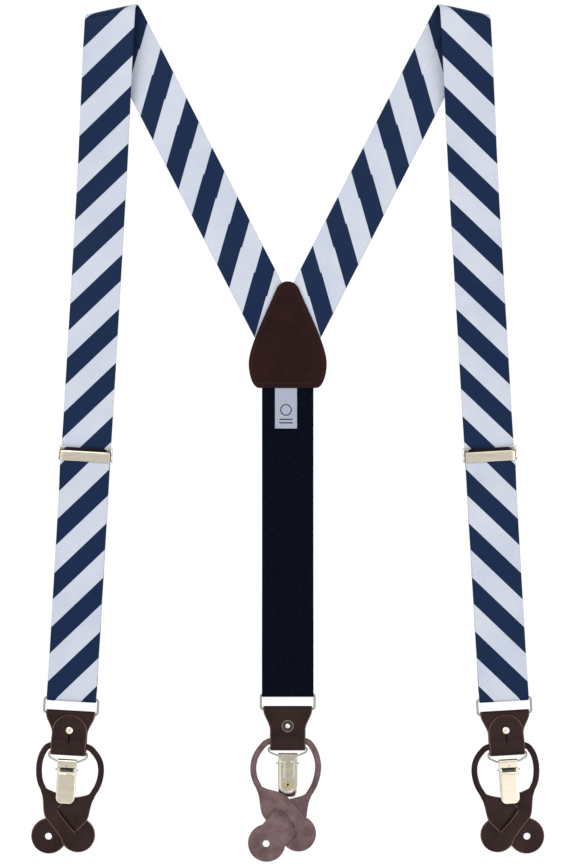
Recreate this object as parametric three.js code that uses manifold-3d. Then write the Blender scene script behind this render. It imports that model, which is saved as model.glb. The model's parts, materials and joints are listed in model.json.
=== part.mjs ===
// Y-back convertible suspenders laid flat, in millimetres: X across, Y towards the shoulders, Z up.
import * as THREE from "three";
import { mergeVertices } from "three/addons/utils/BufferGeometryUtils.js";
import Module from "manifold-3d";

const solids = await Module();
solids.setup();

// ---- driving dimensions ----
const gap = 0.3; // between pieces that touch
const degree = Math.PI / 180;
const through = 25; // cutters reach this far past whatever they cut

const strap = { width: 34.6, thick: 1.2, settle: 24 }; // past a ring the upper layer comes down over `settle`
const elasticWebbing = { width: 36, thick: 1.2, endWidth: 35, settle: 16, endLength: 24 };
const leather = { thick: 1.3 };

const layout = {
  ringX: 151, // front rings, left and right of the middle
  ringY: 115, // height of the front rings over the lowest ear
  backRingY: 118.6,
  shoulderX: 122.9, // where the middle lines of front and back strap meet; the fronts lean out from there
  shoulderY: 598.3,
  foldRadius: 6, // mid-surface of the roll over the shoulder
  foldFall: 120, // length over which the upper layer comes down to the floor
  adjusterUp: 170.2, // adjuster over the front ring, along the strap
};

const yoke = {
  width: 54.5, height: 75.6, bottomY: 331.8, tipRadius: 8.2, flatBottom: 40, widestUp: 17,
  meetUp: 18.5, // straps end and elastic begins this far over the yoke's lower edge
  crossUp: 28, // the middle lines of the straps cross this far over it
  rampFrom: 110, rampTo: 75, // the straps climb on to the back leather between these distances
};
const label = { width: 15.4, length: 28, thick: 0.4 };

const ring = { wire: 1.5, clear: 0.5, span: 10.8, corner: 2.2, butt: 0.4 };
const bar = { z: 2.4 }; // height of both ring bars over the floor

const tab = { clear: 0.9, settle: 9, bottom: 24.8, taper: 16, foldY: -39.8, returnEnd: -27 };
const cord = { thick: 4.2, y: -33.1 }; // rolled leather of the button loop, where it passes the tab's fold
const flap = { width: 24.6, tipY: -11.2, slitWidth: 0.9, slitLength: 8 };
const stud = { y: -22.2, head: 5.7, headHeight: 1.5, headEdge: 0.3, shaft: 2.4, flange: 8.4, flangeThick: 0.35 };

const bail = { wire: 1.2, halfWidth: 13.3, topY: -37.6, bottomY: -43.6, lowerHalf: 7.6, shoulderY: -40.9 };
const clip = {
  width: 13.4, plate: 0.8, plateBottom: -70.1, padBottom: -72.3, padThick: 1.1, coverWidth: 13,
  coverTop: -50.7, coverBottom: -72.8, pinY: -49.2, pinWire: 1.1, pinLength: 16.3, eyeletY: -63.8,
  eyelet: 4.4, eyeletBrim: 0.3, eyeletBore: 1.8, neckWall: 0.4, corner: 4,
  ribWidth: 2.4, ribTop: -47.4, ribBottom: -57.6, ribProud: 0.45,
  overLoop: 0.2, padLength: 17, padInset: 1.2, earPastPin: 1.2, sunk: 0.1,
};

// Flat ends of the button loop: they widen over `flare` and start inside the cord by `lap`.
const tail = { width: 21.6, slitLength: 20, slitWidth: 5, slitInset: 2.4, hole: 5, flare: 17, lap: 3 };
const droopOver = [76, 98]; // a hanging loop's ears come down between these distances below the ring
// The button loop in the leg's frame: the slitted tail runs from the left cord to the right ear,
// the through tail from the right cord to the left ear, through the slit.
const frontLoop = {
  leftCord: [[-15.6, -65.2], [-18.6, -59], [-19.8, -51], [-19.3, -44], [-17.4, -38.2], [-13.4, -33.6]],
  rightCord: [[13.6, -33.4], [18.4, -37], [22.2, -42.6], [23.6, -49.4], [22.3, -58.6], [18, -67.4]],
  slitEar: { at: [9.8, -95.1], radius: 12.1 },
  throughEar: { at: [-10.3, -97.1], radius: 12.5 },
  droop: 0,
};
const backLoop = {
  leftCord: [[-19.6, -66.2], [-23, -59], [-24, -51.7], [-22.6, -44.6], [-18.6, -38], [-13.4, -33.6]],
  rightCord: [[13.4, -33.6], [17.6, -38], [20.4, -45], [21.2, -52.5], [19, -62.6], [14, -71.8]],
  slitEar: { at: [7.4, -96.9], radius: 12.3 },
  throughEar: { at: [-14.6, -103], radius: 13 },
  droop: 1, // the ears hang down to the floor, because this leg lies face down
};

const adjuster = {
  cheek: 0.8, clear: 0.6, low: -4.4, high: 5.6, plate: 0.7, cheekOver: 1.4, pivotY: 4.9, pivotOver: 0.1,
  trunnion: 1, barRadius: 0.6, barY: -0.6, face: 6.7, slope: 3.2, leverClear: 0.4, leverThick: 0.8, tuck: 8,
  rampFrom: 26, rampTo: 8, // the strap climbs on to the back plate between these distances
  levelFrom: 140, levelTo: 60, // and comes level with the ring's lower wrap between these
  overRamp: 30, overRampEnd: 4, // the upper run climbs to the fold bar between these
};

// ---- colours ----
const finish = (color, roughness, metalness = 0) =>
  () => new THREE.MeshStandardMaterial({ color, roughness, metalness });
const navySatin = finish(0x2a3d6b, 0.5);
const navyWebbing = finish(0x10131f, 0.8);
const brownLeather = finish(0x35211f, 0.55);
const wovenWhite = finish(0xdfe1ee, 0.8);
const nickel = finish(0xc8c1b2, 0.3, 1);
const brass = finish(0xc9a85c, 0.35, 1);
const rubber = finish(0x141416, 0.7);

// ---- solids ----
const solidOf = (geometry) => {
  const bare = new THREE.BufferGeometry();
  const loose = geometry.index ? geometry.toNonIndexed() : geometry;
  bare.setAttribute("position", loose.getAttribute("position"));
  const merged = mergeVertices(bare, 1e-4);
  return new solids.Manifold(new solids.Mesh({
    numProp: 3,
    vertProperties: new Float32Array(merged.attributes.position.array),
    triVerts: new Uint32Array(merged.index.array),
  }));
};

const geometryOf = (solid) => {
  const mesh = solid.getMesh();
  const geometry = new THREE.BufferGeometry();
  geometry.setAttribute("position", new THREE.BufferAttribute(mesh.vertProperties, 3));
  geometry.setIndex(new THREE.BufferAttribute(mesh.triVerts, 1));
  const faceted = geometry.toNonIndexed();
  faceted.computeVertexNormals();
  return faceted;
};

const join = (...geometries) => geometryOf(geometries.map(solidOf).reduce((all, next) => all.add(next)));
const cut = (geometry, ...cutters) =>
  geometryOf(cutters.map(solidOf).reduce((rest, next) => rest.subtract(next), solidOf(geometry)));

const piece = (name, geometry, material) => {
  const mesh = new THREE.Mesh(geometry, material());
  mesh.name = name;
  return mesh;
};

const box = (low, high) => {
  const size = high.map((value, axis) => value - low[axis]);
  return new THREE.BoxGeometry(...size).translate(...low.map((value, axis) => value + size[axis] / 2));
};

const shapeOf = (corners) => new THREE.Shape(corners.map(([x, y]) => new THREE.Vector2(x, y)));

const slab = (shape, low, high, curveSegments = 12) =>
  new THREE.ExtrudeGeometry(shape, { depth: high - low, bevelEnabled: false, curveSegments })
    .translate(0, 0, low);

const disc = (radius, x, y, low, high, segments = 24) =>
  new THREE.CylinderGeometry(radius, radius, high - low, segments)
    .rotateX(Math.PI / 2).translate(x, y, (low + high) / 2);

const pinAcross = (radius, length, y, z, segments = 16) =>
  new THREE.CylinderGeometry(radius, radius, length, segments).rotateZ(Math.PI / 2).translate(0, y, z);

// A rod of round section through a list of points in space.
const wire = (points, radius, sides = 8) => {
  const path = points.map((point) => new THREE.Vector3(...point));
  const geometry = new THREE.CylinderGeometry(radius, radius, 1, sides, path.length - 1);
  const position = geometry.attributes.position;
  const upward = new THREE.Vector3(0, 0, 1);
  for (let i = 0; i < position.count; i++) {
    const row = Math.round((0.5 - position.getY(i)) * (path.length - 1));
    const next = path[Math.min(row + 1, path.length - 1)];
    const along = next.clone().sub(path[Math.max(row - 1, 0)]).normalize();
    const across = new THREE.Vector3().crossVectors(upward, along).normalize();
    const over = new THREE.Vector3().crossVectors(along, across);
    const place = path[row].clone().addScaledVector(across, position.getX(i));
    place.addScaledVector(over, position.getZ(i));
    position.setXYZ(i, place.x, place.y, place.z);
  }
  return solidOf(geometry).volume() < 0 ? flipped(geometry) : geometry;
};

// The corners of a path rounded by a curve, as a list of points.
const rounded = (corners, radius, steps = 4) => {
  const points = corners.map((corner) => new THREE.Vector3(...corner));
  const inner = points.slice(1, -1).flatMap((corner, n) => {
    const [before, after] = [points[n], points[n + 2]].map((end) => {
      const leg = end.clone().sub(corner);
      return corner.clone().addScaledVector(leg, Math.min(radius / leg.length(), 0.45));
    });
    return new THREE.QuadraticBezierCurve3(before, corner, after).getPoints(steps);
  });
  return [points[0], ...inner, points.at(-1)].map((point) => point.toArray());
};

const smoothPath = (points, count) =>
  new THREE.CatmullRomCurve3(points.map((point) => new THREE.Vector3(...point)), false, "centripetal")
    .getSpacedPoints(count).map((point) => point.toArray());

// A sheet seen from the side: its mid line in (y, z), thickened and carried across by its width at each y.
const sheetAcross = (midLine, thick, halfWidthAt, columns = 2) => {
  const count = midLine.length;
  const geometry = new THREE.BoxGeometry(1, 1, 1, columns, count - 1, 1);
  const position = geometry.attributes.position;
  for (let i = 0; i < position.count; i++) {
    const row = Math.round((position.getY(i) + 0.5) * (count - 1));
    const [y, z] = midLine[row];
    const [beforeY, beforeZ] = midLine[Math.max(row - 1, 0)];
    const [afterY, afterZ] = midLine[Math.min(row + 1, count - 1)];
    const along = new THREE.Vector2(afterY - beforeY, afterZ - beforeZ).normalize();
    const side = position.getZ(i) * thick;
    const half = halfWidthAt(y, row / (count - 1));
    position.setXYZ(i, 2 * position.getX(i) * half, y - along.y * side, z + along.x * side);
  }
  return solidOf(geometry).volume() < 0 ? flipped(geometry) : geometry;
};

const flipped = (geometry) => {
  const loose = geometry.index ? geometry.toNonIndexed() : geometry.clone();
  const position = loose.attributes.position;
  for (let i = 0; i < position.count; i += 3) {
    const [b, c] = [i + 1, i + 2].map((n) => new THREE.Vector3().fromBufferAttribute(position, n));
    position.setXYZ(i + 1, c.x, c.y, c.z);
    position.setXYZ(i + 2, b.x, b.y, b.z);
  }
  return loose;
};

const smooth = (value, from, to) => THREE.MathUtils.smoothstep(value, from, to);
const between = (from, to, share) => from + (to - from) * share;
const arcPoints = (centreY, centreZ, radius, from, to, steps) =>
  Array.from({ length: steps + 1 }, (_, n) => {
    const angle = between(from, to, n / steps) * degree;
    return [centreY + radius * Math.cos(angle), centreZ + radius * Math.sin(angle)];
  });
const linePoints = (fromY, toY, steps, zAt) =>
  Array.from({ length: steps + 1 }, (_, n) => {
    const y = between(fromY, toY, n / steps);
    return [y, zAt(y)];
  });

// ---- heights that several pieces share, over the floor ----
const strapWrap = ring.wire / 2 + gap + strap.thick / 2; // mid-surface radius round the ring's upper bar
const tabWrap = ring.wire / 2 + gap + leather.thick / 2;
const strapLow = bar.z - strapWrap;
const strapHigh = bar.z + strapWrap;
const ringHalf = Math.max(strap.width, elasticWebbing.endWidth) / 2 + ring.clear + ring.wire / 2;
const tabTop = 2 * (ringHalf - ring.wire / 2 - tab.clear);
const strapStacked = strapLow + strap.thick + gap;
const tabLow = bar.z - tabWrap;
const tabStacked = tabLow + leather.thick + gap;
const flapLow = tabStacked + leather.thick + gap;
const foldRadius = cord.thick / 2 + gap + leather.thick / 2; // mid-surface of the tab's fold
const foldZ = tabLow + foldRadius;
const foldCentreY = tab.foldY + foldRadius + leather.thick / 2;
const flapHigh = foldZ + foldRadius;
const plateLow = 3 * leather.thick + 2 * gap + clip.overLoop; // the clip hangs over three layers of the loop
const knuckleZ = plateLow + clip.plate + gap + bail.wire / 2;
const padLow = plateLow + clip.plate + gap;
const coverLow = padLow + clip.padThick + gap;
const pinZ = (padLow + coverLow + clip.plate) / 2; // middle of the space between back plate and cover
const eyeletNeck = clip.eyeletBore / 2 + clip.neckWall;
const knuckleTop = knuckleZ + bail.wire / 2 + gap + clip.plate;
// The back leg lies face down, on its fold or on its clip.
const backLegHeight = Math.max(flapHigh + leather.thick / 2, coverLow + clip.plate, knuckleTop);

// ---- straps ----
// The back strap runs straight to the shoulder, rolls over a cylinder along the crease and comes
// back on top of itself, leaning outwards by the front strap's angle.
const backLean = Math.atan2(layout.shoulderX, layout.shoulderY - yoke.bottomY - yoke.crossUp);
const frontLean = Math.atan2(layout.ringX - layout.shoulderX, layout.shoulderY - layout.ringY);
const creaseTurn = (backLean - frontLean) / 2;

const rolledPoint = (along, across, height) => {
  // Unfolded: along the back strap from the shoulder point, across it, and height off its mid-surface.
  const x = -Math.sin(backLean) * along + Math.cos(backLean) * across;
  const y = Math.cos(backLean) * along + Math.sin(backLean) * across;
  const beside = x * Math.cos(creaseTurn) + y * Math.sin(creaseTurn);
  const beyond = -x * Math.sin(creaseTurn) + y * Math.cos(creaseTurn) + (Math.PI * layout.foldRadius) / 2;
  const turn = THREE.MathUtils.clamp(beyond / layout.foldRadius, 0, Math.PI);
  const radius = layout.foldRadius - height;
  const over = Math.max(beyond - Math.PI * layout.foldRadius, 0);
  const fall = (2 * layout.foldRadius) * smooth(over, 0, layout.foldFall);
  const out = Math.min(beyond, 0) + radius * Math.sin(turn) - over - (Math.PI * layout.foldRadius) / 2;
  const up = strap.thick / 2 + layout.foldRadius - radius * Math.cos(turn) - fall;
  return [
    beside * Math.cos(creaseTurn) - out * Math.sin(creaseTurn),
    beside * Math.sin(creaseTurn) + out * Math.cos(creaseTurn),
    up,
  ];
};

// Rows crowd together towards the start, by the power that crowding gives.
const rolledStrap = (from, to, rows, liftAt, crowding = 1) => {
  const geometry = new THREE.BoxGeometry(strap.width, 1, strap.thick, 4, rows, 1);
  const position = geometry.attributes.position;
  for (let i = 0; i < position.count; i++) {
    const along = between(from, to, (position.getY(i) + 0.5) ** crowding);
    const [x, y, z] = rolledPoint(along, position.getX(i), position.getZ(i));
    position.setXYZ(i, x, y, z + liftAt(along));
  }
  return geometry.translate(-layout.shoulderX, layout.shoulderY, 0);
};

const yokeStrapLow = leather.thick + gap; // straps and elastic lie on the back leather of the yoke
const backLength = (layout.shoulderY - yoke.bottomY - 16) / Math.cos(backLean);
const rollStart = -12; // the back strap ends and the chest strap starts, just before the crease
const frontRun = (layout.shoulderY - layout.ringY) / Math.cos(frontLean);
const chestEnd = frontRun - layout.adjusterUp;

const mirrored = (geometry) => flipped(geometry.clone().scale(-1, 1, 1));
const onSide = (side, geometry) => (side < 0 ? geometry : mirrored(geometry));

const backStrap = () => {
  const lift = (along) => yokeStrapLow * smooth(-along, backLength - yoke.rampFrom, backLength - yoke.rampTo);
  const whole = rolledStrap(-backLength - strap.width, rollStart, 24, lift);
  const meet = yoke.bottomY + yoke.meetUp;
  const past = 4 * strap.width;
  const otherSide = box([-gap / 2, meet - past, -through], [past, meet + past, through]);
  const below = box([-past, meet - past, -through], [past, meet, through]);
  return cut(whole, otherSide, below);
};

const adjusterLift = adjuster.plate + gap - (strapLow - strap.thick / 2);
// The strap is level with the ring's lower wrap near the hardware and rides over the adjuster's back bar.
const chestLift = (along) => {
  const left = chestEnd - along;
  const level = strapLow - strap.thick / 2;
  const { rampFrom, rampTo, levelFrom, levelTo } = adjuster;
  return level * smooth(-left, -levelFrom, -levelTo) + adjusterLift * smooth(-left, -rampFrom, -rampTo);
};
const chestStrap = () => rolledStrap(rollStart + gap, chestEnd, 36, chestLift, 1.8);

// ---- a leg's hardware, with its origin at the ring's upper bar ----
const underRun = () => {
  const top = layout.adjusterUp - gap;
  const [from, to] = [layout.adjusterUp - adjuster.rampFrom, layout.adjusterUp - adjuster.rampTo];
  const lift = (y) => strapLow + adjusterLift * smooth(y, from, to);
  return sheetAcross(linePoints(top, 4, 24, lift), strap.thick, () => strap.width / 2);
};

const wrapRoundRing = (width, overPoints, thick) => {
  const round = arcPoints(0, bar.z, strapWrap, -90, -270, 12);
  const start = [[4 - gap, strapLow]];
  return sheetAcross([...start, ...round, ...overPoints], thick, () => width / 2);
};

const foldBar = {
  y: layout.adjusterUp + adjuster.barY,
  z: strapLow + adjusterLift + 1.5 * strap.thick + 2 * gap + adjuster.barRadius,
};
const barWrap = adjuster.barRadius + gap + strap.thick / 2;
const adjusterHalf = strap.width / 2 + adjuster.clear + adjuster.cheek;
const cheekHeight = foldBar.z + adjuster.cheekOver;
const pivotZ = foldBar.z + adjuster.pivotOver;
const leverTop = foldBar.z + barWrap + strap.thick / 2 + adjuster.leverClear + adjuster.leverThick;

const overRun = () => {
  const top = foldBar.z + barWrap;
  const height = (y) =>
    strapStacked + (strapHigh - strapStacked) * (1 - smooth(y, 1, strap.settle))
    + (top - strapStacked) * smooth(y, foldBar.y - adjuster.overRamp, foldBar.y - adjuster.overRampEnd);
  const up = linePoints(1.5, foldBar.y - 0.5, 30, height);
  const over = arcPoints(foldBar.y, foldBar.z, barWrap, 90, -90, 10);
  const tucked = [[foldBar.y - adjuster.tuck, foldBar.z - barWrap]];
  return wrapRoundRing(strap.width, [...up, ...over, ...tucked], strap.thick);
};

const elasticEnd = () => {
  const height = (y) => strapStacked + (strapHigh - strapStacked) * (1 - smooth(y, 1, elasticWebbing.settle));
  const back = linePoints(1.5, elasticWebbing.endLength, 10, height);
  return wrapRoundRing(elasticWebbing.endWidth, back, elasticWebbing.thick);
};

const ringWire = () => {
  const { corner, span, butt } = ring;
  const half = ringHalf;
  const corners = [[butt, -span], [half, -span], [half, 0], [-half, 0], [-half, -span], [-butt, -span]];
  return wire(rounded(corners.map(([x, y]) => [x, y, bar.z]), corner), ring.wire / 2);
};

// Half width of the tab: the top width, drawn in by the taper to the lower width.
const tabHalf = (y) => {
  const down = -ring.span + tabWrap - y;
  return between(tabTop, tab.bottom, smooth(down, 1.5, tab.taper)) / 2;
};

const tabLeather = () => {
  const lowEnd = foldCentreY;
  const quarter = arcPoints(foldCentreY, foldZ, foldRadius, -150, -90, 4);
  const main = linePoints(lowEnd + 1, -ring.span - 1, 14, () => tabLow);
  const round = arcPoints(-ring.span, bar.z, tabWrap, -90, 90, 12);
  const backLift = (y) => between(tabStacked, bar.z + tabWrap, smooth(y, -ring.span - tab.settle, -ring.span));
  const back = linePoints(-ring.span - 1, tab.returnEnd, 8, backLift);
  const sheet = sheetAcross([...quarter, ...main, ...round, ...back], leather.thick, tabHalf);
  const hole = disc(stud.shaft / 2 + gap, 0, stud.y, -2, 6);
  const recess = disc(stud.flange / 2 + gap, 0, stud.y, -2, stud.flangeThick + gap);
  return cut(sheet, hole, recess);
};

const flapLeather = () => {
  const fold = arcPoints(foldCentreY, foldZ, foldRadius, -155, -270, 10);
  const lowerAt = (y) => {
    const rest = between(flapLow, flapHigh, 1 - smooth(y, foldCentreY + 4.6, foldCentreY + 11));
    return rest + (bar.z + tabWrap - tabStacked) * smooth(y, -ring.span - 9.5, -ring.span - 0.5);
  };
  const flat = linePoints(foldCentreY + 1, flap.tipY, 24, lowerAt);
  const radius = flap.width / 2;
  const halfAt = (y) => {
    const past = y - (flap.tipY - radius);
    return past > 0 ? Math.sqrt(Math.max(radius * radius - past * past, 0.25)) : radius;
  };
  const sheet = sheetAcross([...fold, ...flat], leather.thick, halfAt);
  const hole = disc(stud.shaft / 2 + gap, 0, stud.y, 2, 12);
  const slit = box([-flap.slitWidth / 2, stud.y - flap.slitLength, 0], [flap.slitWidth / 2, stud.y, through]);
  return cut(sheet, hole, slit);
};

const studRivet = () => {
  const headLow = flapLow + leather.thick / 2 + gap;
  const [shaft, head, flange] = [stud.shaft / 2, stud.head / 2, stud.flange / 2];
  const bottom = tabLow - leather.thick / 2;
  const dome = Array.from({ length: 6 }, (_, n) => {
    const angle = (n / 5) * 90 * degree;
    const rise = (stud.headHeight - stud.headEdge) * Math.sin(angle);
    return new THREE.Vector2(head * Math.cos(angle), headLow + stud.headEdge + rise);
  });
  dome[5].x = 0;
  const profile = [
    new THREE.Vector2(0, bottom), new THREE.Vector2(flange, bottom),
    new THREE.Vector2(flange, bottom + stud.flangeThick), new THREE.Vector2(shaft, bottom + stud.flangeThick),
    new THREE.Vector2(shaft, headLow), new THREE.Vector2(head, headLow), ...dome,
  ];
  return new THREE.LatheGeometry(profile, 16).rotateX(Math.PI / 2).translate(0, stud.y, 0);
};

const bailWire = () => {
  const { halfWidth: half, topY, bottomY, lowerHalf, shoulderY } = bail;
  const right = [
    [ring.butt, topY, foldZ], [half, topY, foldZ], [half, shoulderY, between(foldZ, knuckleZ, 0.5)],
    [lowerHalf, bottomY, knuckleZ], [0, bottomY, knuckleZ],
  ];
  const left = right.slice(0, -1).toReversed().map(([x, y, z]) => [-x, y, z]);
  return wire(rounded([...right, ...left], 1.5, 3), bail.wire / 2);
};

// Back plate of the clip: a stamping with two ribs, its upper edge rolled round the bail and its
// side ears turned forward to hold the pin.
const clipBackPlate = () => {
  const half = clip.width / 2;
  const { corner, plateBottom } = clip;
  const outline = new THREE.Shape();
  outline.moveTo(-half, bail.bottomY);
  outline.lineTo(-half, plateBottom + corner);
  outline.absarc(corner - half, plateBottom + corner, corner, Math.PI, 1.5 * Math.PI);
  outline.absarc(half - corner, plateBottom + corner, corner, 1.5 * Math.PI, 2 * Math.PI);
  outline.lineTo(half, bail.bottomY);
  const flat = slab(outline, plateLow, plateLow + clip.plate, 6);
  const knuckle = bail.wire / 2 + gap + clip.plate / 2;
  const rolled = arcPoints(bail.bottomY, knuckleZ, knuckle, -90, 90, 10);
  const bracketEnd = clip.pinY + clip.pinWire / 2 + gap + 0.6;
  const roll = sheetAcross([...rolled, [bracketEnd, knuckleZ + knuckle]], clip.plate, () => half);
  const ear = (side) => {
    const middle = side * (half - clip.plate / 2);
    const low = [middle - clip.plate / 2, clip.pinY - clip.earPastPin, plateLow];
    return box(low, [middle + clip.plate / 2, bail.bottomY - 1, knuckleZ + knuckle]);
  };
  const rib = (x) =>
    box([x - clip.ribWidth / 2, clip.ribBottom, plateLow - clip.ribProud],
      [x + clip.ribWidth / 2, clip.ribTop, plateLow + clip.sunk]);
  const pinBore = pinAcross(clip.pinWire / 2 + gap, 2 * through, clip.pinY, pinZ);
  const eyeletBore = disc(eyeletNeck + gap, 0, clip.eyeletY, -through, through);
  return cut(join(flat, roll, ear(-1), ear(1), rib(-half / 2), rib(half / 2)), pinBore, eyeletBore);
};

const jawPad = () => {
  const half = clip.width / 2 - clip.padInset;
  const top = [half, clip.padBottom + clip.padLength, padLow + clip.padThick];
  const pad = box([-half, clip.padBottom, padLow], top);
  return cut(pad, disc(eyeletNeck + gap, 0, clip.eyeletY, -through, through));
};

const jawEyelet = () => {
  const [bore, neck, head] = [clip.eyeletBore / 2, eyeletNeck, clip.eyelet / 2];
  const low = plateLow - gap - 0.3;
  const high = padLow + clip.padThick - 0.1;
  const brim = low + clip.eyeletBrim;
  const profile = [[bore, low], [head, low], [head, brim], [neck, brim], [neck, high], [bore, high], [bore, low]];
  const turned = new THREE.LatheGeometry(profile.map(([r, z]) => new THREE.Vector2(r, z)), 16);
  return turned.rotateX(Math.PI / 2).translate(0, clip.eyeletY, 0);
};

const clipCover = () => {
  const half = clip.coverWidth / 2;
  const { corner, coverTop, coverBottom } = clip;
  const outline = new THREE.Shape();
  outline.moveTo(-half, coverTop);
  outline.lineTo(-half, coverBottom + corner);
  outline.absarc(corner - half, coverBottom + corner, corner, Math.PI, 1.5 * Math.PI);
  outline.absarc(half - corner, coverBottom + corner, corner, 1.5 * Math.PI, 2 * Math.PI);
  outline.lineTo(half, coverTop);
  const face = slab(outline, coverLow, coverLow + clip.plate, 6);
  // The lugs turn round the pin between the back plate's ears, clear of the plate and the knuckle.
  const inside = half - gap - clip.plate / 2;
  const lugRadius = pinZ - plateLow - clip.plate - gap / 2;
  const lug = (side) => {
    const middle = side * (inside - clip.plate / 2);
    const [low, high] = [middle - clip.plate / 2, middle + clip.plate / 2];
    const eye = pinAcross(lugRadius, clip.plate, clip.pinY, pinZ).translate(middle, 0, 0);
    const web = box([low, coverTop, pinZ], [high, clip.pinY + 0.7 * lugRadius, coverLow + clip.plate]);
    const neck = box([low, coverTop - 4, pinZ - 0.5], [high, clip.pinY - 1.2, coverLow + clip.plate / 2]);
    return join(eye, web, neck);
  };
  const pinBore = pinAcross(clip.pinWire / 2 + gap, 2 * through, clip.pinY, pinZ);
  return cut(join(face, lug(-1), lug(1)), pinBore);
};

// One flat end of the button loop: a strip that widens from the cord and ends in a round ear.
const tailOutline = (start, ear) => {
  const axis = new THREE.Vector2(ear.at[0] - start[0], ear.at[1] - start[1]);
  const length = axis.length();
  const turn = axis.angle();
  const half = (along) => between(cord.thick / 2 - gap, tail.width / 2, smooth(along, -2, tail.flare));
  const meet = length - Math.sqrt(ear.radius ** 2 - (tail.width / 2) ** 2);
  const stations = Array.from({ length: 13 }, (_, n) => between(-tail.lap, meet, n / 12));
  const upper = stations.map((along) => [along, half(along)]);
  const from = Math.atan2(tail.width / 2, meet - length);
  const round = Array.from({ length: 19 }, (_, n) => {
    const angle = between(from, -from, (n + 1) / 20);
    return [length + ear.radius * Math.cos(angle), ear.radius * Math.sin(angle)];
  });
  const lower = upper.toReversed().map(([along, side]) => [along, -side]);
  const points = [...upper, ...round, ...lower].map(([along, side]) => new THREE.Vector2(along, side));
  points.forEach((point) => point.rotateAround(new THREE.Vector2(), turn).add(new THREE.Vector2(...start)));
  return { shape: new THREE.Shape(points), turn, length };
};

// A plate cut into a grid, so that it can be bent: each corner moves up by heightAt.
const bentPlate = (shape, thick, heightAt) => {
  const flat = solidOf(slab(shape, -thick / 2, thick / 2));
  return geometryOf(flat.refineToLength(7).warp((vertex) => {
    vertex[2] += heightAt(vertex[0], vertex[1]);
  }));
};

const buttonLoop = (loop, hand) => {
  const low = leather.thick / 2;
  const level = leather.thick + gap;
  const slitZ = low + level; // the slitted tail lies between the two halves of the through tail
  const drop = loop.droop * (backLegHeight - low - 2 * level - leather.thick / 2);
  const droop = (y) => drop * smooth(-y, ...droopOver);
  const slitTail = tailOutline(loop.leftCord[0], loop.slitEar);
  const throughTail = tailOutline(loop.rightCord.at(-1), loop.throughEar);
  const start = new THREE.Vector2(...loop.leftCord[0]);
  const origin = new THREE.Vector2();
  const across = (x, y) => new THREE.Vector2(x, y).sub(start).rotateAround(origin, -slitTail.turn);
  const slitPlate = bentPlate(slitTail.shape, leather.thick, (x, y) => slitZ + droop(y));
  const slitFrom = slitTail.length - tail.slitInset - tail.slitLength;
  const [slotLow, slotHigh] = [-tail.slitWidth / 2, tail.slitWidth / 2];
  const slot = box([slitFrom, slotLow, -through], [slitTail.length - 1, slotHigh, through])
    .rotateZ(slitTail.turn).translate(start.x, start.y, 0);
  const throughPlate = bentPlate(throughTail.shape, leather.thick, (x, y) => {
    const side = across(x, y).y;
    return low + 2 * level * smooth(side, -tail.slitWidth / 2 + 0.3, tail.slitWidth / 2 - 0.3) + droop(y);
  });
  const hole = disc(tail.hole / 2, ...loop.throughEar.at, -through, through);
  const high = low + 2 * level;
  const cordPath = [
    ...loop.leftCord.map(([x, y], n) => [x, y, between(slitZ, foldZ, smooth(n, 0, loop.leftCord.length - 1))]),
    [0, cord.y, foldZ],
    ...loop.rightCord.map(([x, y], n) => [x, y, between(foldZ, high, smooth(n, 0, loop.rightCord.length - 1))]),
  ];
  const rolled = wire(smoothPath(cordPath, 26), cord.thick / 2);
  const whole = cut(join(rolled, cut(slitPlate, slot), throughPlate), hole);
  return hand > 0 ? whole : mirrored(whole);
};

const adjusterFrame = () => {
  const { cheek, low, high, plate } = adjuster;
  const half = adjusterHalf;
  const back = box([-half, low + 1, 0], [half, high - 1.6, plate]);
  const side = (sign) => {
    const outline = shapeOf([
      [low, 0], [high, 0], [high, cheekHeight - 1], [high - 1, cheekHeight], [low + 2, cheekHeight],
      [low, cheekHeight - 2],
    ]);
    const profile = new THREE.ExtrudeGeometry(outline, { depth: cheek, bevelEnabled: false });
    return profile.rotateY(Math.PI / 2).rotateX(Math.PI / 2).translate(sign > 0 ? half - cheek : -half, 0, 0);
  };
  const bore = pinAcross(adjuster.trunnion / 2 + gap, 4 * half, adjuster.pivotY, pivotZ);
  const foldBarPin = pinAcross(adjuster.barRadius, 2 * half - cheek, adjuster.barY, foldBar.z);
  return join(cut(join(back, side(-1), side(1)), bore), foldBarPin);
};

const adjusterLever = () => {
  const { leverThick: thick, face, slope, pivotY } = adjuster;
  const top = leverTop;
  const low = adjuster.low;
  const crest = low + face;
  const foot = crest + slope;
  const outline = shapeOf([
    [low, top - thick], [low, top], [crest, top], [foot, pivotZ + 0.5], [foot - 0.6, pivotZ - 0.5],
    [foot - 1.4, pivotZ - 0.3], [crest - 0.3, top - thick],
  ]);
  const width = strap.width;
  const stamping = new THREE.ExtrudeGeometry(outline, { depth: width, bevelEnabled: false })
    .rotateY(Math.PI / 2).rotateX(Math.PI / 2).translate(-width / 2, 0, 0);
  return join(stamping, pinAcross(adjuster.trunnion / 2, 2 * adjusterHalf, pivotY, pivotZ));
};

// ---- assembly ----
const legHardware = (name, loop, hand) => {
  const leg = new THREE.Group();
  leg.name = `leg_${name}`;
  leg.add(
    piece(`ring_${name}`, ringWire(), nickel),
    piece(`tab_${name}`, tabLeather(), brownLeather),
    piece(`flap_${name}`, flapLeather(), brownLeather),
    piece(`stud_${name}`, studRivet(), nickel),
    piece(`bail_${name}`, bailWire(), nickel),
    piece(`clip_back_plate_${name}`, clipBackPlate(), nickel),
    piece(`clip_jaw_pad_${name}`, jawPad(), rubber),
    piece(`clip_eyelet_${name}`, jawEyelet(), brass),
    piece(`clip_pin_${name}`, pinAcross(clip.pinWire / 2, clip.pinLength, clip.pinY, pinZ), nickel),
    piece(`clip_cover_${name}`, clipCover(), nickel),
    piece(`button_loop_${name}`, buttonLoop(loop, hand), brownLeather),
  );
  return leg;
};

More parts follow.
